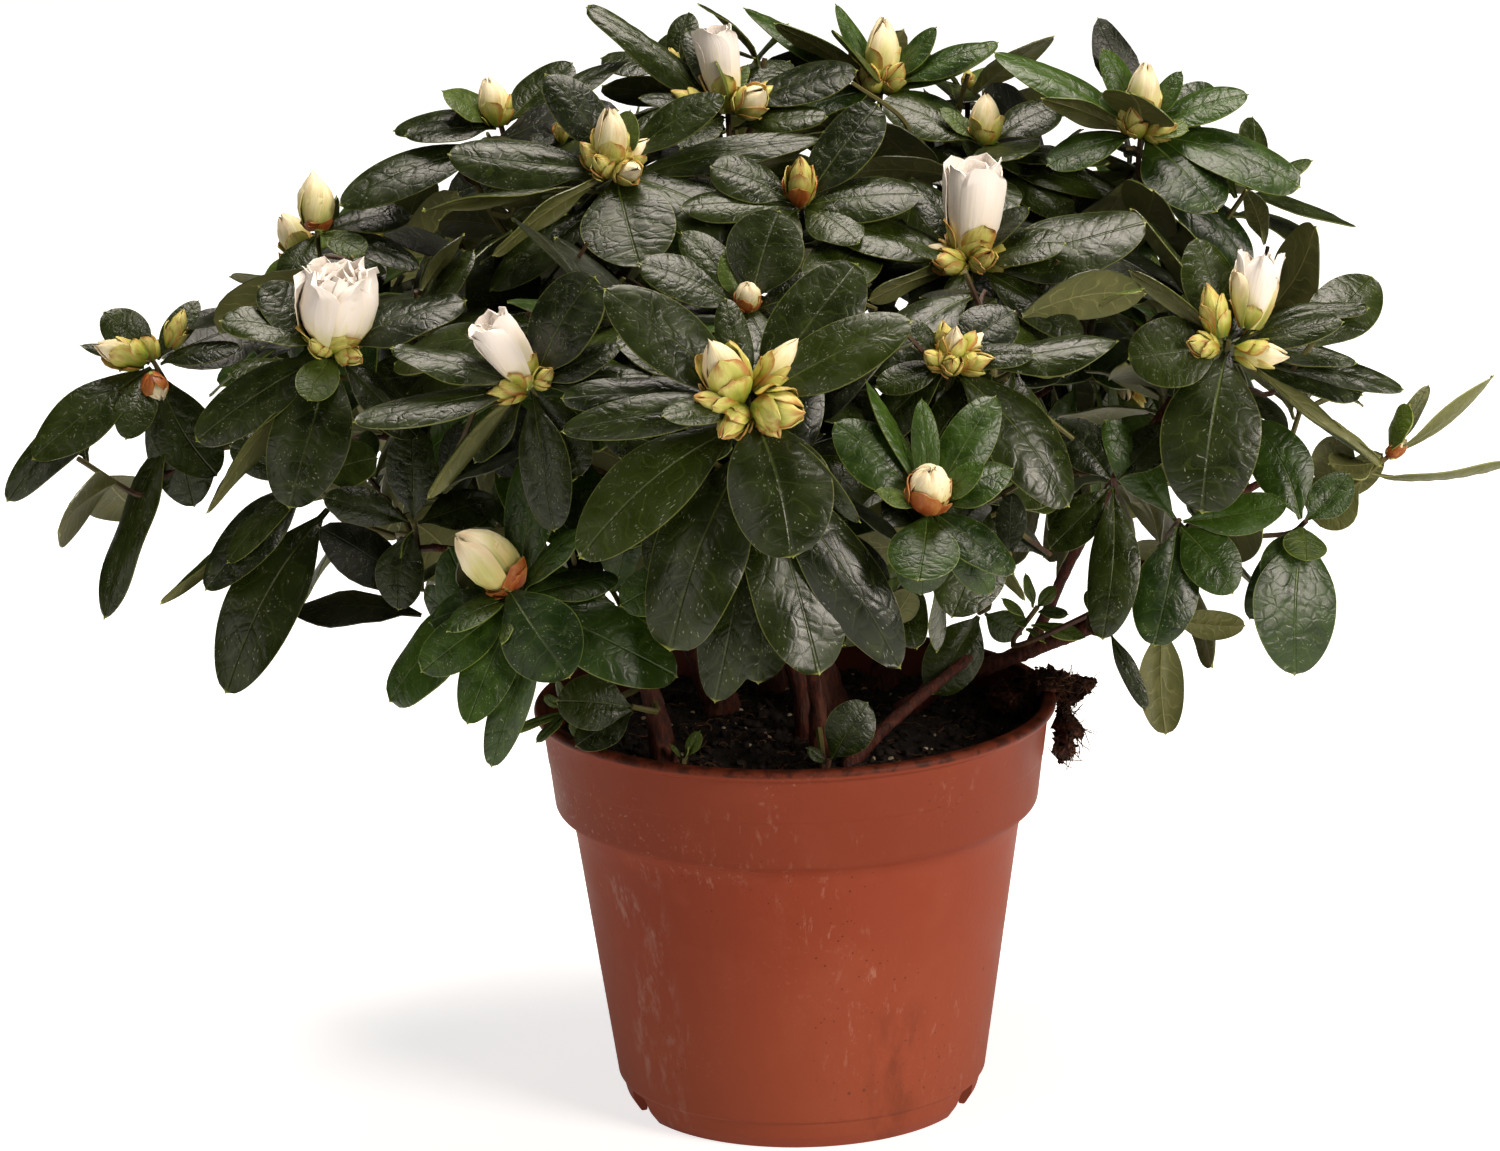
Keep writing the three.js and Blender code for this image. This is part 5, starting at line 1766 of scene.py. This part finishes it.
def grow_twigs(batch, start, heading, radius, shoots, rng):
    """Branch from the start to every shoot, in two groups at each fork, until one shoot is left."""
    if len(shoots) == 1:
        grow_last_twig(batch, start, heading, radius, shoots[0])
        return
    centre = sum((s.at for s in shoots), Vector()) / len(shoots)
    below = sum((s.at - s.axis * max(s.reach, 12 * MM) for s in shoots), Vector()) / len(shoots)
    fork = start + (below - start) * rng.uniform(0.3, 0.45) + heading * 2 * MM
    bulge = random_vector(rng) * 1.2 * MM
    line, share = smooth_line([start, (start + fork) / 2 + heading * MM + bulge, fork], TWIG_STEP)
    thin = max(THINNEST_FORK, radius * 0.78)
    sweep(batch, line, lerp(radius, thin, share), 7)
    TWIG_POINTS.extend(line)
    split = np.linalg.svd(np.array([s.at - centre for s in shoots]))[2][0]
    ranked = sorted(shoots, key=lambda s: float(np.dot(s.at - centre, split)))
    half = len(ranked) // 2
    onward = (fork - start).normalized()
    for group in (ranked[:half], ranked[half:]):
        grow_twigs(batch, fork - onward * 0.6 * MM, onward, thin, group, rng)


def build_twigs(shoots):
    """Twigs from the end of each mass's bough, then inside the crown, then from stems to their own shoots."""
    twigs = Batch("twigs", "bark", twig_material())
    for node in MASS_NODES:
        tip, heading, radius = LIMB_TIPS[node]
        own = [s for s in shoots if s.mass == node and not s.inner]
        if own:
            grow_twigs(twigs, tip - heading * 1.5 * MM, heading, radius, own, random.Random(node))
    side_rng = random.Random(3)
    for shoot in [s for s in shoots if s.inner]:
        grow_side_twig(twigs, shoot, side_rng)
    for shoot in [s for s in shoots if s.mass in STEM_LINES]:
        line = STEM_LINES[shoot.mass]
        start = Vector(line[np.linalg.norm(line - np.array(shoot.at), axis=1).argmin()])
        grow_last_twig(twigs, start, (shoot.at - start).normalized(), 1.1 * MM, shoot)
    return twigs


def blade_for(leaf):
    """Finer blades where they show more."""
    if leaf["kind"] == "inner":
        return INNER_BLADE
    if leaf["hero"] and leaf["length"] > FINE_LENGTH:
        return FINE_BLADE
    return MIDDLE_BLADE if leaf["base"].y < 0 else PLAIN_BLADE


def build_leaves(foliage):
    """The leaves of each kind, joined into pieces."""
    pieces = []
    for kind, (*shades, gloss) in LEAF_LOOKS.items():
        material = leaf_material(f"leaf_{kind}", *(colour(*shade) for shade in shades), gloss)
        batch, part = None, 0
        for leaf in [each for each in foliage.leaves if each["kind"] == kind]:
            if batch is None or batch.triangles() > PIECE_LIMIT:
                part += 1
                batch = Batch(f"leaves_{kind}_{part}", "leaf", material)
                pieces.append(batch)
            blade = blade_for(leaf)
            batch.add(leaf_points(blade, leaf), blade.faces, blade.tiles(random.Random(leaf["seed"])))
    pieces[0].replaced = MASS_NODES
    return pieces


def build_crown():
    foliage, blossom = Foliage(), Blossom()
    shoots = grow_front_shoots(foliage, blossom)
    for x in range(-60, 75, 15):
        foliage.show(Vector((x, -35, 122)) * MM, 12 * MM)  # the stems stay in view
    grow_crown_shoots(foliage, blossom, shoots)
    solids = mass_trees()
    grow_inner_leaves(foliage, shoots, solids)
    close_gaps(foliage, shoots, solids)
    return build_leaves(foliage) + [build_twigs(shoots)] + blossom.batches()


# ---- stage ----


WARM = (1.0, 0.9, 0.81)
# name, place, what it faces, size, power
LIGHTS = [
    ("overhead", (0.15, 0.15, 1.75), (0, 0, 0.2), 1.0, 37),
    ("key", (1.5, -1.35, 1.05), (0, 0, 0.15), 0.8, 36),
    ("fill", (-1.5, -1.6, 0.8), (0, 0, 0.15), 1.2, 5.5),
]
LENS = 174.75
CAMERA_DOWN = 0.263  # how far the camera looks down, in radians
CAMERA_ROLL = -0.021


def floor_material():
    """Pale paper: white to the camera, and a dimmer bounce for the plant."""
    g = Graph("floor_paper")
    g.finish(colour(230, 230, 230), 0.9, specular=0.1)
    g.shader.inputs["Emission Color"].default_value = (1, 1, 1, 1)
    direct = g.node("LightPath", output="Is Camera Ray")
    g.feed(g.shader.inputs["Emission Strength"], g.step(direct, 0.0, 1.0, 0.2, 0.74))
    return g.material


def build_camera(scene):
    lens = bpy.data.cameras.new("camera")
    lens.sensor_width = 36
    lens.lens = LENS
    lens.clip_end = 50
    camera = bpy.data.objects.new("camera", lens)
    tilted = Matrix.Translation(VIEW_AT) @ Matrix.Rotation(math.pi / 2 - CAMERA_DOWN, 4, "X")
    camera.matrix_world = tilted @ Matrix.Rotation(CAMERA_ROLL, 4, "Z")
    scene.collection.objects.link(camera)
    scene.camera = camera


def build_stage():
    scene = bpy.context.scene
    scene.view_settings.view_transform = "Standard"
    build_camera(scene)
    world = bpy.data.worlds.new("studio")
    world.use_nodes = True
    backdrop = world.node_tree.nodes["Background"]
    backdrop.inputs[0].default_value = WARM + (1,)
    backdrop.inputs[1].default_value = 0.04
    scene.world = world
    bm = bmesh.new()
    bmesh.ops.create_grid(bm, x_segments=1, y_segments=1, size=8)
    floor = mesh_object("floor", bm)
    floor.data.materials.append(floor_material())
    for name, at, to, size, power in LIGHTS:
        light = bpy.data.lights.new(name, "AREA")
        light.shape = "SQUARE"
        light.size = size
        light.energy = power
        light.color = WARM
        lamp = bpy.data.objects.new(name, light)
        lamp.location = at
        lamp.rotation_euler = (Vector(to) - Vector(at)).to_track_quat("-Z", "Y").to_euler()
        scene.collection.objects.link(lamp)


# ---- making ----

build_pot()
build_soil(soil_material())
litter = build_litter()
crumbs, _, straw = litter
build_clump(root_mat_material(), crumbs, straw)
build_limbs()
for batch in list(litter) + build_crown():
    if batch.count:
        batch.build()
build_stage()
